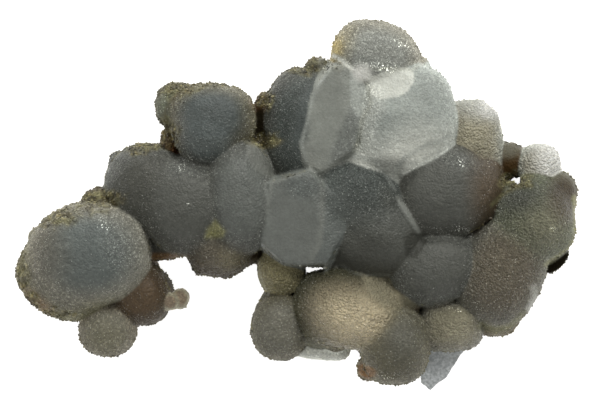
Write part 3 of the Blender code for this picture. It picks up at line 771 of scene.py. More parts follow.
# between which values each effect fades in or out. Slopes are the upward part of the
# skin's direction, heights are over the resting plane, brightness is linear.
bands = {
    "pressed": (-0.1, 0.4),        # how far the skin stood out from a contact face
    "foot": (0.05, 0.9),           # height over which the relief begins
    "lobeSlope": (-0.3, 0.3),      # slope from which on the skin keeps its triangles
    "rim": (0.5, 1.0),             # share of a lobe's plan, from its heart to its rim
    "glowSlope": (0.1, 0.8),       # slope over which the rims' glow ends
    "crustSlope": (-0.15, 0.3),    # slope over which the undersides' crust ends
    "crustCrease": (0.1, 1.0),     # distance from a crease over which that crust begins
    "palest": (0.15, 0.35),        # brightness over which the crust thins
    "grainSlope": (-0.75, -0.3),   # slope over which grains begin
    "grainHeight": (0.5, 1.5),
    "druse": (0.15, 0.6),          # sparkle over which loose grains begin
    "lustre": (0.008, 0.07),       # brightness, from dull black to shining
    "blotch": (-0.35, 0.35),
    "golden": (0.15, 0.55),
}

# how colour, painted light, crust and sparkle lie on the skin
wear = {
    "boundary": 0.12,      # softness of the colour change between lobes
    # painted glow: the rims are painted lighter for the light that comes through them
    "paintedRimGlow": 0.4,        # how much lighter the rims are, where light comes through
    # painted light: the creases are painted lighter, which lifts the shade in them
    "paintedCreaseLight": 0.12,    # how much lighter the creases are
    "creaseWidth": 0.6,
    "ragged": 1.3,         # how ragged the borders of the crust are
    "raggedSlope": 0.3,
    "crustSoft": 0.45,     # softness of a crust zone's border
    "paleRims": 0.8,       # how much less crust there is on the palest lobes
    "glintSoft": 0.6,
    "glintFrost": 0.8,     # sparkle of the spots that catch the light
    "goldShare": 0.7,      # how much of the gold shows in the crust
    "crustShare": 0.85,    # how much of the crust's colour shows on the skin
}


def lobeFields(points):
    # for every point: its distance from each lobe, how far out on each lobe's plan it is,
    # and how surely it lies on one of each lobe's contact faces
    shapes = {**lobes, **hanging}
    distance = numpy.empty((len(points), len(shapes)))
    outward = numpy.empty((len(points), len(shapes)))
    pressed = numpy.zeros((len(points), len(shapes)))
    for column, (name, (centre, radii, turn, squareness)) in enumerate(shapes.items()):
        angle = math.radians(-turn)
        away = points - numpy.array(centre)
        x = (away[:, 0] * math.cos(angle) - away[:, 1] * math.sin(angle)) / radii[0]
        y = (away[:, 0] * math.sin(angle) + away[:, 1] * math.cos(angle)) / radii[1]
        down = radii[2] if name in hanging else underside(centre, radii)
        z = away[:, 2] / numpy.where(away[:, 2] > 0, radii[2], down)
        plan = (numpy.abs(x) ** squareness + numpy.abs(y) ** squareness) ** (1 / squareness)
        span = (plan ** form["bulge"] + numpy.abs(z) ** form["bulge"]) ** (1 / form["bulge"])
        reach = numpy.linalg.norm(away, axis=1) * (1 - 1 / numpy.maximum(span, 0.05))
        for facing, offset in facets.get(name, ()):
            facing = numpy.array(facing) / numpy.linalg.norm(facing)
            proud = (away - numpy.array(offset)) @ facing
            flat = form["press"] * proud + (1 - form["press"]) * reach
            reach = numpy.where(proud > 0, numpy.maximum(reach, flat), reach)
            if facing[2] > relief["faceUp"]:
                smooth = ramp(proud, *bands["pressed"]) * relief["faceSmooth"]
                pressed[:, column] = numpy.maximum(pressed[:, column], smooth)
        distance[:, column] = reach
        outward[:, column] = plan
    return list(shapes), distance, outward, pressed


def pairWidths(names, plain, which):
    # for each pair of lobes, over how many millimetres one turns into the other
    widths = numpy.full((len(names), len(names)), plain)
    for family in families:
        columns = [names.index(name) for name in family[0]]
        widths[numpy.ix_(columns, columns)] = family[which]
    return widths


def fillets(names, distance):
    # how far the creases between lobes are filled, and how near each point is to one
    nearest = distance.argmin(axis=1)
    gap = distance - distance.min(axis=1)[:, None]
    widths = pairWidths(names, relief["fillet"], 1)[nearest]
    rise = widths * numpy.log1p(numpy.exp(-gap / widths))
    closeness = numpy.exp(-gap / widths)
    own = numpy.arange(len(nearest)), nearest
    rise[own] = 0
    closeness[own] = 0
    return rise.max(axis=1), closeness.max(axis=1)


def sharedNormals(mesh):
    # the skin's direction, evened out over each crease
    edges = numpy.empty(len(mesh.edges) * 2, numpy.int32)
    mesh.edges.foreach_get("vertices", edges)
    start, end = edges.reshape(-1, 2).T
    normals = normalsOf(mesh)
    for step in range(relief["evening"]):
        spread = normals.copy()
        for axis in range(3):
            spread[:, axis] += numpy.bincount(start, normals[end, axis], len(normals))
            spread[:, axis] += numpy.bincount(end, normals[start, axis], len(normals))
        normals = spread / numpy.linalg.norm(spread, axis=1)[:, None]
    return normals


def fillCreases(stone):
    # lobes grow together over the creases between them
    points = pointsOf(stone.data)
    names, distance, outward, pressed = lobeFields(points)
    rise, closeness = fillets(names, distance)
    low = ramp(points[:, 2], *bands["foot"])
    points += sharedNormals(stone.data) * (rise * low)[:, None]
    movePoints(stone.data, points)
    calm = relief["calm"] * (1 - pressed.max(axis=1))
    settle = stone.modifiers.new("settle", "SMOOTH")
    settle.factor = relief["settleFactor"]
    settle.iterations = relief["settle"]
    settle.vertex_group = weightGroup(stone, "creases", numpy.maximum(closeness, calm) * low)
    applyModifiers(stone)
    stone.vertex_groups.clear()


def giveRelief(stone):
    points = pointsOf(stone.data)
    normals = normalsOf(stone.data)
    look = masks(points, normals)
    peel = 1 - look["polish"] * relief["peelPolished"] + look["hammer"] * relief["peelHammered"]
    rise = noiseAt(points, *swells["lump"]) * relief["lumpDepth"]
    rise += noiseAt(points, *swells["peel"]) * (relief["peelDepth"] * peel)
    rise += noiseAt(points, *swells["crust"]) * relief["crustDepth"] * look["crust"]
    rise *= ramp(points[:, 2], *bands["foot"])
    movePoints(stone.data, points + normals * rise[:, None])


def thinOut(stone):
    # fewer triangles on the underside than on the lobes
    up = ramp(normalsOf(stone.data)[:, 2], *bands["lobeSlope"])
    triangles = sum(len(face.vertices) - 2 for face in stone.data.polygons)
    thin = stone.modifiers.new("thin", "DECIMATE")
    thin.ratio = form["triangles"] / triangles
    thin.vertex_group = weightGroup(stone, "underside", 1 - up * form["lobeDetail"])
    applyModifiers(stone)
    stone.vertex_groups.clear()
    points = pointsOf(stone.data)
    points[:, 2] = numpy.maximum(points[:, 2], 0)
    movePoints(stone.data, points)


# the skin: where its colours, crust and sparkle lie

def zone(points, centre, radii, turn, soft):
    # 1 inside an ellipse of the plan, 0 outside, with a soft border
    angle = math.radians(-turn)
    east = points[:, 0] - centre[0]
    north = points[:, 1] - centre[1]
    x = (east * math.cos(angle) - north * math.sin(angle)) / radii[0]
    y = (east * math.sin(angle) + north * math.cos(angle)) / radii[1]
    return 1 - ramp(numpy.hypot(x, y), 1 - soft, 1 + soft)


def lineDistance(points, line):
    # distance in plan from a line of points
    nearest = numpy.full(len(points), numpy.inf)
    for start, end in zip(line[:-1], line[1:]):
        along = numpy.subtract(end, start)
        away = points[:, :2] - numpy.array(start)
        share = numpy.clip(away @ along / (along @ along), 0, 1)
        nearest = numpy.minimum(nearest, numpy.linalg.norm(away - share[:, None] * along, axis=1))
    return nearest


def insideOutline(points, outline):
    # whether each point lies inside a closed outline of the plan
    inside = numpy.zeros(len(points), bool)
    for (x0, y0), (x1, y1) in zip(outline, outline[1:] + outline[:1]):
        if y0 == y1:
            continue
        between = (points[:, 1] > y0) != (points[:, 1] > y1)
        crossing = x0 + (points[:, 1] - y0) * (x1 - x0) / (y1 - y0)
        inside ^= between & (points[:, 0] < crossing)
    return inside


def coverOf(points, stainOrPaintedLight):
    # how much of a stain, of painted light or of an opening lies on each point, 0 to 1
    soft = stainOrPaintedLight.get("soft", 0.3)
    if "at" in stainOrPaintedLight:
        return zone(points, stainOrPaintedLight["at"], stainOrPaintedLight["size"], stainOrPaintedLight.get("turn", 0), soft)
    if "line" in stainOrPaintedLight:
        return 1 - ramp(lineDistance(points, stainOrPaintedLight["line"]), stainOrPaintedLight["wide"] - soft, stainOrPaintedLight["wide"] + soft)
    outline = stainOrPaintedLight["outline"]
    depth = lineDistance(points, outline + outline[:1])
    depth[~insideOutline(points, outline)] *= -1
    return ramp(depth, -soft, soft)


def coatOf(names, weight, outward):
    # the lobes' colours and sparkle, from their hearts to their rims
    hearts = numpy.array([linear(paint[coats[name][0]]) for name in names])
    rims = numpy.array([linear(paint[coats[name][1]]) for name in names])
    frosts = numpy.array([coats[name][2:] for name in names])
    edge = ramp(outward, *bands["rim"])
    tints = hearts[None] + (rims - hearts)[None] * edge[:, :, None]
    frost = frosts[:, 0] + (frosts[:, 1] - frosts[:, 0]) * edge
    return (weight[:, :, None] * tints).sum(axis=1), (weight * frost).sum(axis=1)


def layStainsAndPaintedLight(points, names, weight, tint, frost):
    # changes the colours and the sparkle where the stains and the painted light lie
    for stainOrPaintedLight in stainsAndPaintedLight.values():
        cover = coverOf(points, stainOrPaintedLight)
        if "on" in stainOrPaintedLight:
            cover *= weight[:, [names.index(name) for name in stainOrPaintedLight["on"]]].sum(axis=1)
        tint += (linear(paint[stainOrPaintedLight["colour"]]) - tint) * (cover * stainOrPaintedLight["share"])[:, None]
        frost += (stainOrPaintedLight.get("frost", frost) - frost) * cover


def crustOf(points, normals, crease, bare):
    # crust on the undersides and in its zones, with ragged borders
    warp = numpy.column_stack(
        [noiseAt(points, *swells["raggedEast"]), noiseAt(points, *swells["raggedNorth"])])
    ragged = points[:, :2] + warp * wear["ragged"]
    crust = 1 - ramp(normals[:, 2] + warp[:, 0] * wear["raggedSlope"], *bands["crustSlope"])
    crust *= ramp(crease, *bands["crustCrease"])
    for centre, radii, share in crustZones.values():
        crust = numpy.maximum(crust, zone(ragged, centre, radii, 0, wear["crustSoft"]) * share)
    return crust * bare


def masks(points, normals):
    # what every point of the skin looks like
    names, distance, outward, pressed = lobeFields(points)
    gap = distance - distance.min(axis=1)[:, None]
    widths = pairWidths(names, wear["boundary"], 2)[distance.argmin(axis=1)]
    weight = numpy.exp(-gap / widths)
    weight /= weight.sum(axis=1, keepdims=True)
    polish = (weight * pressed).sum(axis=1)
    crease = numpy.partition(gap, 1, axis=1)[:, 1]

    tint, frost = coatOf(names, weight, outward)
    # painted glow on the rims, where light comes through them, and painted light in the creases, which
    # lifts their shade
    tint *= 1 + wear["paintedRimGlow"] * (1 - ramp(normals[:, 2], *bands["glowSlope"]))[:, None]
    tint *= 1 + wear["paintedCreaseLight"] * numpy.exp(-crease / wear["creaseWidth"])[:, None]
    layStainsAndPaintedLight(points, names, weight, tint, frost)
    brightness = tint.mean(axis=1)

    bare = (1 - polish) * (1 - wear["paleRims"] * ramp(brightness, *bands["palest"]))
    crust = crustOf(points, normals, crease, bare)
    seen = ramp(normals[:, 2], *bands["grainSlope"]) * ramp(points[:, 2], *bands["grainHeight"])
    spots = [zone(points, *spot, wear["glintSoft"]) for spot in glintSpots.values()]
    glint = numpy.max(spots, axis=0)
    frost = numpy.clip(numpy.maximum(frost, glint * wear["glintFrost"]), 0, 1) * (1 - crust) * seen
    hammer = weight @ numpy.array([dents.get(name, leastDents) for name in names])
    return {
        "tint": tint,
        "crust": crust,
        "polish": polish,
        "grit": crust * seen,
        "frost": frost,
        "druse": frost * ramp(frost, *bands["druse"]),
        "hammer": hammer * (1 - polish),
        "glint": glint,
        "lustre": ramp(brightness, *bands["lustre"]),
    }


def storeMask(mesh, name, values):
    layer = mesh.attributes.new(name, "FLOAT", "POINT")
    layer.data.foreach_set("value", values.astype(numpy.float32))


def colourStone(stone):
    mesh = stone.data
    points = pointsOf(mesh)
    look = masks(points, normalsOf(mesh))
    for name in ("crust", "frost", "druse", "grit", "hammer", "glint", "lustre"):
        storeMask(mesh, name, look[name])
    crust = look["crust"][:, None]
    blotch = ramp(noiseAt(points, *swells["blotch"]), *bands["blotch"])[:, None]
    golden = ramp(noiseAt(points, *swells["golden"]), *bands["golden"])[:, None]
    crustTint = linear(paint["crust"]) * (1 - blotch) + linear(paint["crustDark"]) * blotch
    crustTint += (linear(paint["gold"]) - crustTint) * golden * wear["goldShare"]
    colours = numpy.ones((len(points), 4), numpy.float32)
    colours[:, :3] = look["tint"] + (crustTint - look["tint"]) * crust * wear["crustShare"]
    layer = mesh.attributes.new("tint", "FLOAT_COLOR", "POINT")
    layer.data.foreach_set("color", colours.ravel())


# Grains that are set on the skin, in millimetres. The mask says where they are, and the
# density is the most to a square millimetre.
grainKinds = {
    "rimDruse": {"mask": "druse", "spacing": 0.21, "density": 26.0, "sides": 4, "wide": 0.14,
                 "tall": 0.11, "scale": (0.5, 1.2), "tilt": 0.4, "seed": 3},
    "crustGrains": {"mask": "grit", "spacing": 0.36, "density": 9.0, "sides": 5, "wide": 0.24,
                    "tall": 0.34, "scale": (0.6, 1.5), "tilt": 0.8, "seed": 8},
}


def grainTree(name, kind):
    # Geometry nodes: points on the stone's skin, a grain on each, all made real. A Random
    # Value node's sockets 0 and 1 are for vectors, 2 and 3 for numbers, and 8 is its seed.
    tree = bpy.data.node_groups.new(name, "GeometryNodeTree")
    tree.interface.new_socket("Geometry", in_out="INPUT", socket_type="NodeSocketGeometry")
    tree.interface.new_socket("Geometry", in_out="OUTPUT", socket_type="NodeSocketGeometry")
    nodes, links = tree.nodes, tree.links
    start = nodes.new("NodeGroupInput")
    end = nodes.new("NodeGroupOutput")
    where = nodes.new("GeometryNodeInputNamedAttribute")
    where.data_type = "FLOAT"
    where.inputs["Name"].default_value = kind["mask"]
    scatter = nodes.new("GeometryNodeDistributePointsOnFaces")
    scatter.distribute_method = "POISSON"
    scatter.inputs["Distance Min"].default_value = kind["spacing"]
    scatter.inputs["Density Max"].default_value = kind["density"]
    scatter.inputs["Seed"].default_value = kind["seed"]
    links.new(start.outputs["Geometry"], scatter.inputs["Mesh"])
    links.new(where.outputs["Attribute"], scatter.inputs["Density Factor"])

    gleam = nodes.new("FunctionNodeRandomValue")
    gleam.inputs[8].default_value = kind["seed"] + 1
    mark = nodes.new("GeometryNodeStoreNamedAttribute")
    mark.inputs["Name"].default_value = "gleam"
    links.new(scatter.outputs["Points"], mark.inputs["Geometry"])
    links.new(gleam.outputs[1], mark.inputs["Value"])

    shape = nodes.new("GeometryNodeMeshCone")
    shape.fill_type = "NONE"
    shape.inputs["Vertices"].default_value = kind["sides"]
    shape.inputs["Radius Top"].default_value = 0
    shape.inputs["Radius Bottom"].default_value = kind["wide"]
    shape.inputs["Depth"].default_value = kind["tall"]
    turn = nodes.new("FunctionNodeRandomValue")
    turn.data_type = "FLOAT_VECTOR"
    turn.inputs[0].default_value = (-kind["tilt"], -kind["tilt"], 0)
    turn.inputs[1].default_value = (kind["tilt"], kind["tilt"], math.tau)
    turn.inputs[8].default_value = kind["seed"] + 2
    asTurn = nodes.new("FunctionNodeEulerToRotation")
    spun = nodes.new("FunctionNodeRotateRotation")
    spun.rotation_space = "LOCAL"
    links.new(turn.outputs[0], asTurn.inputs[0])
    links.new(scatter.outputs["Rotation"], spun.inputs[0])
    links.new(asTurn.outputs[0], spun.inputs[1])
    size = nodes.new("FunctionNodeRandomValue")
    size.inputs[2].default_value = kind["scale"][0]
    size.inputs[3].default_value = kind["scale"][1]
    size.inputs[8].default_value = kind["seed"] + 3

    place = nodes.new("GeometryNodeInstanceOnPoints")
    links.new(mark.outputs["Geometry"], place.inputs["Points"])
    links.new(shape.outputs["Mesh"], place.inputs["Instance"])
    links.new(spun.outputs[0], place.inputs["Rotation"])
    links.new(size.outputs[1], place.inputs["Scale"])
    real = nodes.new("GeometryNodeRealizeInstances")
    links.new(place.outputs["Instances"], real.inputs["Geometry"])
    links.new(real.outputs["Geometry"], end.inputs["Geometry"])
    return tree


def growGrains(name, stone):
    grains = newPiece(name, stone.data.copy())
    grow = grains.modifiers.new("grow", "NODES")
    grow.node_group = grainTree(name, grainKinds[name])
    applyModifiers(grains)
    grains.data.materials.clear()
    grains.data.shade_flat()
    return grains


# two thin blades of clear quartz at the southern rim: outline in plan, underside and top
# at the root, how much thinner each is at its tip
blades = {
    "southBlade": (
        ((25.2, -27.4), (34.0, -26.6), (33.8, -29.4), (31.8, -32.4), (30.0, -35.2),
         (27.0, -38.0), (25.0, -36.4), (24.9, -32.6)),
        (3.0, 8.8), 0.35),
    "eastBlade": (
        ((41.6, -15.4), (47.6, -16.0), (48.0, -18.4), (46.6, -21.0), (44.0, -23.0),
         (41.0, -22.0)),
        (2.8, 6.6), 0.6),
}
bladeGrid = 0.22
bladeRipples = ((0.8, 2.0, 0.16), (2.2, 7.0, 0.25))  # spacing, seed, depth


def makeBlade(name):
    outline, (low, high), thinning = blades[name]
    root = (Vector(outline[0]) + Vector(outline[1])) / 2
    reach = max((Vector(point) - root).length for point in outline)
    body = bmesh.new()
    for point in outline:
        share = (Vector(point) - root).length / reach
        drop = (high - low) * thinning * share
        body.verts.new((point[0], point[1], high - 2 * drop))
        body.verts.new((point[0], point[1], low + drop / 2))
    bmesh.ops.convex_hull(body, input=body.verts[:])
    blade = newPiece(name, meshOf(body, name))
    voxelFuse(blade, bladeGrid)
    points = pointsOf(blade.data)
    ripple = sum(noiseAt(points, size, seed) * depth for size, seed, depth in bladeRipples)
    movePoints(blade.data, points + normalsOf(blade.data) * ripple[:, None])
    blade.data.shade_smooth()
    return blade


def placeInFrame(pieces):
    # the specimen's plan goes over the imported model's box, in metres
    low = numpy.min([pointsOf(piece.data).min(axis=0) for piece in pieces], axis=0)
    high = numpy.max([pointsOf(piece.data).max(axis=0) for piece in pieces], axis=0)
    wide = max((high - low)[:2] * mm / numpy.array(cadHigh - cadLow)[:2])
    scale = mm / max(wide, 1)
    middle = Vector(((low[0] + high[0]) / 2, (low[1] + high[1]) / 2, 0))
    target = Vector(((cadLow.x + cadHigh.x) / 2, (cadLow.y + cadHigh.y) / 2, cadLow.z))
    move = Matrix.Translation(target) @ Matrix.Scale(scale, 4) @ Matrix.Translation(-middle)
    for piece in pieces:
        piece.data.transform(move)


# shader helpers

def newMaterial(name):
    material = bpy.data.materials.new(name)
    material.use_nodes = True
    nodes = material.node_tree.nodes
    return material, nodes, material.node_tree.links, nodes["Principled BSDF"]


def attributeNode(nodes, name):
    node = nodes.new("ShaderNodeAttribute")
    node.attribute_name = name
    return node


def mathNode(nodes, links, operation, first, second):
    # each of first and second is a socket or a number
    node = nodes.new("ShaderNodeMath")
    node.operation = operation
    for socket, value in zip(node.inputs, (first, second)):
        if isinstance(value, (int, float)):
            socket.default_value = value
        else:
            links.new(value, socket)
    return node.outputs[0]


def scaledColour(nodes, links, colour, factor):
    scale = nodes.new("ShaderNodeVectorMath")
    scale.operation = "SCALE"
    links.new(colour, scale.inputs[0])
    links.new(factor, scale.inputs["Scale"])
    return scale.outputs[0]


def makeGroup(name, inputs, outputs):
    # an empty shader group whose sockets are given as name: (kind, default)
    group = bpy.data.node_groups.new(name, "ShaderNodeTree")
    for label, (kind, default) in inputs.items():
        socket = group.interface.new_socket(label, in_out="INPUT", socket_type="NodeSocket" + kind)
        if default is not None:
            socket.default_value = default
    for label, kind in outputs.items():
        group.interface.new_socket(label, in_out="OUTPUT", socket_type="NodeSocket" + kind)
    start = group.nodes.new("NodeGroupInput")
    end = group.nodes.new("NodeGroupOutput")
    return group, group.nodes, group.links, start.outputs, end.inputs


def useGroup(nodes, group, values):
    node = nodes.new("ShaderNodeGroup")
    node.node_tree = group
    for label, value in values.items():
        node.inputs[label].default_value = value
    return node


def cloudyGroup():
    # slow clouds of lighter and darker stone
    group, nodes, links, given, made = makeGroup(
        "cloudyStone",
        {"Colour": ("Color", None), "Scale": ("Float", 300.0), "Amount": ("Float", 0.3)},
        {"Colour": "Color"})
    place = nodes.new("ShaderNodeTexCoord").outputs["Object"]
    clouds = nodes.new("ShaderNodeTexNoise")
    clouds.inputs["Detail"].default_value = 4
    clouds.inputs["Roughness"].default_value = 0.6
    links.new(place, clouds.inputs["Vector"])
    links.new(given["Scale"], clouds.inputs["Scale"])
    centred = mathNode(nodes, links, "SUBTRACT", clouds.outputs["Fac"], 0.5)
    swing = mathNode(nodes, links, "MULTIPLY", centred, given["Amount"])
    factor = mathNode(nodes, links, "ADD", swing, 1.0)
    links.new(scaledColour(nodes, links, given["Colour"], factor), made["Colour"])
    return group


def grainGroup():
    # crystal grains of the skin: a value for each grain, its rounded height, and the few
    # that catch the light
    group, nodes, links, given, made = makeGroup(
        "crystalGrain",
        {"Scale": ("Float", 2600.0), "Share": ("Float", 0.1)},
        {"Value": "Float", "Height": "Float", "Glint": "Float"})
    place = nodes.new("ShaderNodeTexCoord").outputs["Object"]
    cells = nodes.new("ShaderNodeTexVoronoi")
    links.new(place, cells.inputs["Vector"])
    links.new(given["Scale"], cells.inputs["Scale"])
    split = nodes.new("ShaderNodeSeparateColor")
    links.new(cells.outputs["Color"], split.inputs["Color"])
    links.new(split.outputs["Red"], made["Value"])
    height = mathNode(nodes, links, "SUBTRACT", 1.0, cells.outputs["Distance"])
    links.new(height, made["Height"])
    bright = mathNode(nodes, links, "LESS_THAN", split.outputs["Green"], given["Share"])
    links.new(bright, made["Glint"])
    return group


# materials. Their scales count cells to a metre.

quartzIor = 1.54

skinLook = {
    "grains": {"Scale": 2900.0, "Share": 0.1},
    "clouds": {"Scale": 330.0, "Amount": 0.5},
    "brightness": 1.03,
    "speck": 0.16,          # how unlike the grains are, and how much more so where it sparkles
    "frostSpeck": 0.5,
    # painted highlight: grains that catch the light are painted this much lighter
    "glintLift": 0.9,       # how much lighter the grains that catch the light are
    "dentScale": 2200,
    "dentSmooth": 0.35,
    "dentLevel": 0.55,      # distance from a dent's middle that is neither light nor dark
    # painted light on the middles of the dents and painted shade at their borders, this strong
    "dentShade": 0.35,
    "dentBump": 6.0,
    "sugarBump": 0.4,       # how proud the grains stand where it sparkles
    "bumpStrength": 0.8,
    "bumpDepth": 0.00035,
    "roughness": (0.5, 0.7),  # of the bare skin and of the crust
    "glintGloss": 0.2,
    "dentGloss": 0.25,
    "lustre": 0.32,
    "glow": 0.2,            # light that passes through the skin, how far, and its colour
    "glowReach": 0.0012,
    "glowColour": (1.0, 0.95, 0.85),
}


def stoneSkin():
    material, nodes, links, shader = newMaterial("chalcedonySkin")
    place = nodes.new("ShaderNodeTexCoord").outputs["Object"]
    tint = attributeNode(nodes, "tint").outputs["Color"]
    crust = attributeNode(nodes, "crust").outputs["Fac"]
    frost = attributeNode(nodes, "frost").outputs["Fac"]
    hammer = attributeNode(nodes, "hammer").outputs["Fac"]
    lustre = attributeNode(nodes, "lustre").outputs["Fac"]

    # grains, a few of which catch the light
    grains = useGroup(nodes, crystalGrain, skinLook["grains"])
    centred = mathNode(nodes, links, "SUBTRACT", grains.outputs["Value"], 0.5)
    depth = mathNode(nodes, links, "MULTIPLY", frost, skinLook["frostSpeck"])
    depth = mathNode(nodes, links, "ADD", depth, skinLook["speck"])
    speck = mathNode(nodes, links, "MULTIPLY", centred, depth)
    glint = mathNode(nodes, links, "MULTIPLY", grains.outputs["Glint"], frost)
    paintedGlint = mathNode(nodes, links, "MULTIPLY", glint, skinLook["glintLift"])

    # hammered dents
    peel = nodes.new("ShaderNodeTexVoronoi")
    peel.feature = "SMOOTH_F1"
    peel.inputs["Scale"].default_value = skinLook["dentScale"]
    peel.inputs["Smoothness"].default_value = skinLook["dentSmooth"]
    peel.inputs["Detail"].default_value = 1
    links.new(place, peel.inputs["Vector"])
    hammered = mathNode(nodes, links, "SUBTRACT", skinLook["dentLevel"], peel.outputs["Distance"])
    hammered = mathNode(nodes, links, "MULTIPLY", hammered, hammer)

    # colour: the grains' own specks, painted highlights on the grains that catch the light, painted
    # light and shade in the dents, and slow clouds
    shade = mathNode(nodes, links, "MULTIPLY", hammered, skinLook["dentShade"])
    factor = mathNode(nodes, links, "ADD", speck, paintedGlint)
    factor = mathNode(nodes, links, "ADD", factor, shade)
    factor = mathNode(nodes, links, "ADD", factor, skinLook["brightness"])
    clouds = useGroup(nodes, cloudyStone, skinLook["clouds"])
    links.new(tint, clouds.inputs["Colour"])
    links.new(scaledColour(nodes, links, clouds.outputs["Colour"], factor), shader.inputs["Base Color"])

    # gloss
    roughness = nodes.new("ShaderNodeMapRange")
    roughness.inputs["To Min"].default_value = skinLook["roughness"][0]
    roughness.inputs["To Max"].default_value = skinLook["roughness"][1]
    links.new(crust, roughness.inputs["Value"])
    gloss = mathNode(nodes, links, "MULTIPLY", glint, skinLook["glintGloss"])
    dentGloss = mathNode(nodes, links, "MULTIPLY", hammer, skinLook["dentGloss"])
    gloss = mathNode(nodes, links, "ADD", gloss, dentGloss)
    rough = mathNode(nodes, links, "SUBTRACT", roughness.outputs["Result"], gloss)
    links.new(rough, shader.inputs["Roughness"])
    level = mathNode(nodes, links, "MULTIPLY", lustre, skinLook["lustre"])
    links.new(level, shader.inputs["Specular IOR Level"])

    # dents and grains under the light
    sugar = mathNode(nodes, links, "MULTIPLY", grains.outputs["Height"], frost)
    sugar = mathNode(nodes, links, "MULTIPLY", sugar, skinLook["sugarBump"])
    hollows = mathNode(nodes, links, "MULTIPLY", hammered, skinLook["dentBump"])
    bump = nodes.new("ShaderNodeBump")
    bump.inputs["Strength"].default_value = skinLook["bumpStrength"]
    bump.inputs["Distance"].default_value = skinLook["bumpDepth"]
    links.new(mathNode(nodes, links, "ADD", hollows, sugar), bump.inputs["Height"])
    links.new(bump.outputs["Normal"], shader.inputs["Normal"])

    shader.inputs["Subsurface Weight"].default_value = skinLook["glow"]
    shader.inputs["Subsurface Radius"].default_value = skinLook["glowColour"]
    shader.inputs["Subsurface Scale"].default_value = skinLook["glowReach"]
    shader.inputs["IOR"].default_value = quartzIor
    return material


cutLook = {"cellScale": 75, "rings": 60, "roughness": 0.55}


def cutFace():
    # the flat back: slow rings of darker and lighter stone
    material, nodes, links, shader = newMaterial("cutBack")
    place = nodes.new("ShaderNodeTexCoord").outputs["Object"]
    cells = nodes.new("ShaderNodeTexVoronoi")
    cells.inputs["Scale"].default_value = cutLook["cellScale"]
    links.new(place, cells.inputs["Vector"])
    rings = mathNode(nodes, links, "MULTIPLY", cells.outputs["Distance"], cutLook["rings"])
    rings = mathNode(nodes, links, "SINE", rings, 0)
    colours = nodes.new("ShaderNodeValToRGB")
    colours.color_ramp.elements[0].color = (*linear(paint["taupe"]), 1)
    colours.color_ramp.elements[1].color = (*linear(paint["sand"]), 1)
    links.new(rings, colours.inputs["Fac"])
    links.new(colours.outputs["Color"], shader.inputs["Base Color"])
    shader.inputs["Roughness"].default_value = cutLook["roughness"]
    return material


# how the grains look: their least share of the skin's colour, how much more the bright
# ones have, the white that they add as a painted glint, how rare bright ones are, how much
# more there is in the spots that glint
grainLooks = {
    "quartzDruse": {"low": 0.75, "swing": 0.9, "glintWhite": (0.2, 0.208, 0.196), "power": 3.0,
                    "spot": 5.5, "roughness": 0.35},
    "ochreCrust": {"low": 0.6, "swing": 1.1, "glintWhite": (0.03, 0.028, 0.018), "power": 1.5,
                   "spot": 1.0, "roughness": 0.5},
}
grainClouds = {"Scale": 900.0, "Amount": 0.5}


def grainSkin(name):
    # loose grains: the colour of the skin under them, each with its own white gleam, a painted glint
    look = grainLooks[name]
    material, nodes, links, shader = newMaterial(name)
    tint = attributeNode(nodes, "tint").outputs["Color"]
    gleam = attributeNode(nodes, "gleam").outputs["Fac"]
    glint = attributeNode(nodes, "glint").outputs["Fac"]
    extra = mathNode(nodes, links, "MULTIPLY", glint, look["spot"])
    extra = mathNode(nodes, links, "ADD", extra, 1.0)
    strength = mathNode(nodes, links, "POWER", gleam, look["power"])
    strength = mathNode(nodes, links, "MULTIPLY", strength, extra)
    clouds = useGroup(nodes, cloudyStone, grainClouds)
    links.new(tint, clouds.inputs["Colour"])
    share = mathNode(nodes, links, "MULTIPLY", strength, look["swing"])
    share = mathNode(nodes, links, "ADD", share, look["low"])
    own = scaledColour(nodes, links, clouds.outputs["Colour"], share)
    sheen = nodes.new("ShaderNodeCombineColor")
    for socket, value in zip(sheen.inputs, look["glintWhite"]):
        links.new(mathNode(nodes, links, "MULTIPLY", strength, value), socket)
    both = nodes.new("ShaderNodeVectorMath")
    both.operation = "ADD"
    links.new(own, both.inputs[0])
    links.new(sheen.outputs["Color"], both.inputs[1])
    links.new(both.outputs[0], shader.inputs["Base Color"])
    shader.inputs["Roughness"].default_value = look["roughness"]
    shader.inputs["IOR"].default_value = quartzIor
    return material


bladeLook = {
    "streakScale": 1800,
    "dark": (0.34, 0.37, 0.38, 1),
    "pale": (0.80, 0.83, 0.85, 1),
    "darkEnds": 0.35,       # on the streaks' noise, 0 to 1
    "paleStarts": 0.72,
    "roughness": 0.3,
    "clear": 0.35,
}


def bladeSkin():
    # clear quartz with fine frosted streaks
    material, nodes, links, shader = newMaterial("clearQuartz")
    place = nodes.new("ShaderNodeTexCoord").outputs["Object"]
    streaks = nodes.new("ShaderNodeTexNoise")
    streaks.inputs["Scale"].default_value = bladeLook["streakScale"]
    streaks.inputs["Detail"].default_value = 3
    links.new(place, streaks.inputs["Vector"])
    colours = nodes.new("ShaderNodeValToRGB")
    colours.color_ramp.elements[0].position = bladeLook["darkEnds"]
    colours.color_ramp.elements[0].color = bladeLook["dark"]
    colours.color_ramp.elements[1].position = bladeLook["paleStarts"]
    colours.color_ramp.elements[1].color = bladeLook["pale"]
    links.new(streaks.outputs["Fac"], colours.inputs["Fac"])
    links.new(colours.outputs["Color"], shader.inputs["Base Color"])
    shader.inputs["Roughness"].default_value = bladeLook["roughness"]
    shader.inputs["Transmission Weight"].default_value = bladeLook["clear"]
    shader.inputs["IOR"].default_value = quartzIor
    return material


def dress(piece, *materials):
    for material in materials:
        piece.data.materials.append(material)


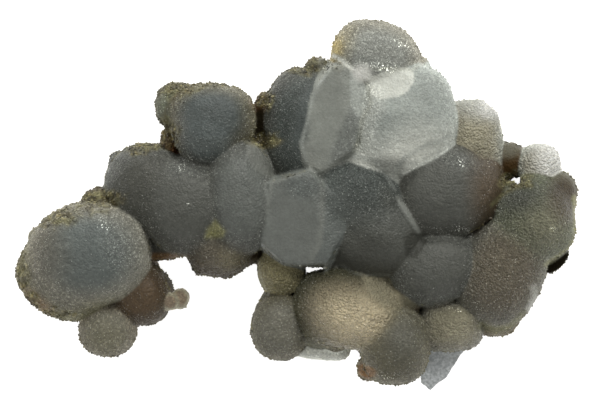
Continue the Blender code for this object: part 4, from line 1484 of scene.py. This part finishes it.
# camera, floor and light
studio = {
    "pictureMm": 118.5,     # width of the picture at the lobes' mid height
    "lens": 150.0,
    "reachMm": 500.0,       # from the camera down to that height
    "midHeight": 12.0,
    "aim": (0.7, 0.0),      # the picture's middle on the plan
    "floorSize": 3.0,       # metres, as the lamps' places and sizes
    "floorColour": (0.8, 0.8, 0.8, 1),
    "floorRoughness": 0.9,
    "floorShine": 0.1,
    "floorGlow": 0.95,
    "world": 0.40,
    "lampColour": (1.0, 0.98, 0.94),
    "lamps": {              # place, size, power
        "keyFromTop": ((0.22, 0.38, 0.50), 0.25, 2.0),
        "fillFromLeft": ((-0.5, -0.1, 0.5), 0.40, 0.6),
        "lowGlint": ((0.05, 0.75, 0.30), 0.06, 2.0),
    },
}


def makeCamera():
    # straight over the lobes
    lens = bpy.data.cameras.new("camera")
    lens.lens = studio["lens"]
    lens.sensor_width = studio["pictureMm"] * studio["lens"] / studio["reachMm"]
    lens.clip_start = 0.01
    lens.clip_end = 10
    camera = newPiece("camera", lens)
    height = studio["midHeight"] * mm + studio["reachMm"] * mm
    camera.location = (studio["aim"][0] * mm, studio["aim"][1] * mm, height)
    bpy.context.scene.camera = camera


def makeFloor():
    body = bmesh.new()
    bmesh.ops.create_grid(body, x_segments=1, y_segments=1, size=studio["floorSize"] / 2)
    bmesh.ops.translate(body, verts=body.verts[:], vec=(0, 0, cadLow.z))
    floor = newPiece("floor", meshOf(body, "floor"))
    material, nodes, links, shader = newMaterial("paleFloor")
    shader.inputs["Base Color"].default_value = studio["floorColour"]
    shader.inputs["Roughness"].default_value = studio["floorRoughness"]
    shader.inputs["Specular IOR Level"].default_value = studio["floorShine"]
    shader.inputs["Emission Color"].default_value = (1, 1, 1, 1)
    shader.inputs["Emission Strength"].default_value = studio["floorGlow"]
    dress(floor, material)


def makeLight():
    world = bpy.data.worlds.new("studio")
    world.use_nodes = True
    sky = world.node_tree.nodes["Background"]
    sky.inputs["Color"].default_value = (*studio["lampColour"], 1)
    sky.inputs["Strength"].default_value = studio["world"]
    bpy.context.scene.world = world
    for name, (spot, size, power) in studio["lamps"].items():
        lamp = bpy.data.lights.new(name, "AREA")
        lamp.size = size
        lamp.energy = power
        lamp.color = studio["lampColour"]
        holder = newPiece(name, lamp)
        holder.location = spot
        holder.rotation_euler = (-Vector(spot)).to_track_quat("-Z", "Y").to_euler()


bpy.context.scene.view_settings.view_transform = "Standard"
makeCamera()
makeFloor()
makeLight()
print("studio ready")

stone = fuseLobes()
openGaps(stone)
cutBack(stone)
fillCreases(stone)
print("lobes fused:", len(stone.data.polygons), "faces")
giveRelief(stone)
print("relief done")
thinOut(stone)
print("thinned:", len(stone.data.polygons), "faces")
colourStone(stone)

rimDruse = growGrains("rimDruse", stone)
crustGrains = growGrains("crustGrains", stone)
print("grains:", len(rimDruse.data.polygons), "and", len(crustGrains.data.polygons), "faces")
southBlade = makeBlade("southBlade")
eastBlade = makeBlade("eastBlade")
pieces = [stone, rimDruse, crustGrains, southBlade, eastBlade]
placeInFrame(pieces)
stone.data.shade_smooth()

cloudyStone = cloudyGroup()
crystalGrain = grainGroup()
clearQuartz = bladeSkin()
dress(stone, stoneSkin(), cutFace())
dress(rimDruse, grainSkin("quartzDruse"))
dress(crustGrains, grainSkin("ochreCrust"))
dress(southBlade, clearQuartz)
dress(eastBlade, clearQuartz)
for piece in pieces:
    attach(piece, bodyName)
    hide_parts(nodeName)
print("pieces ready")
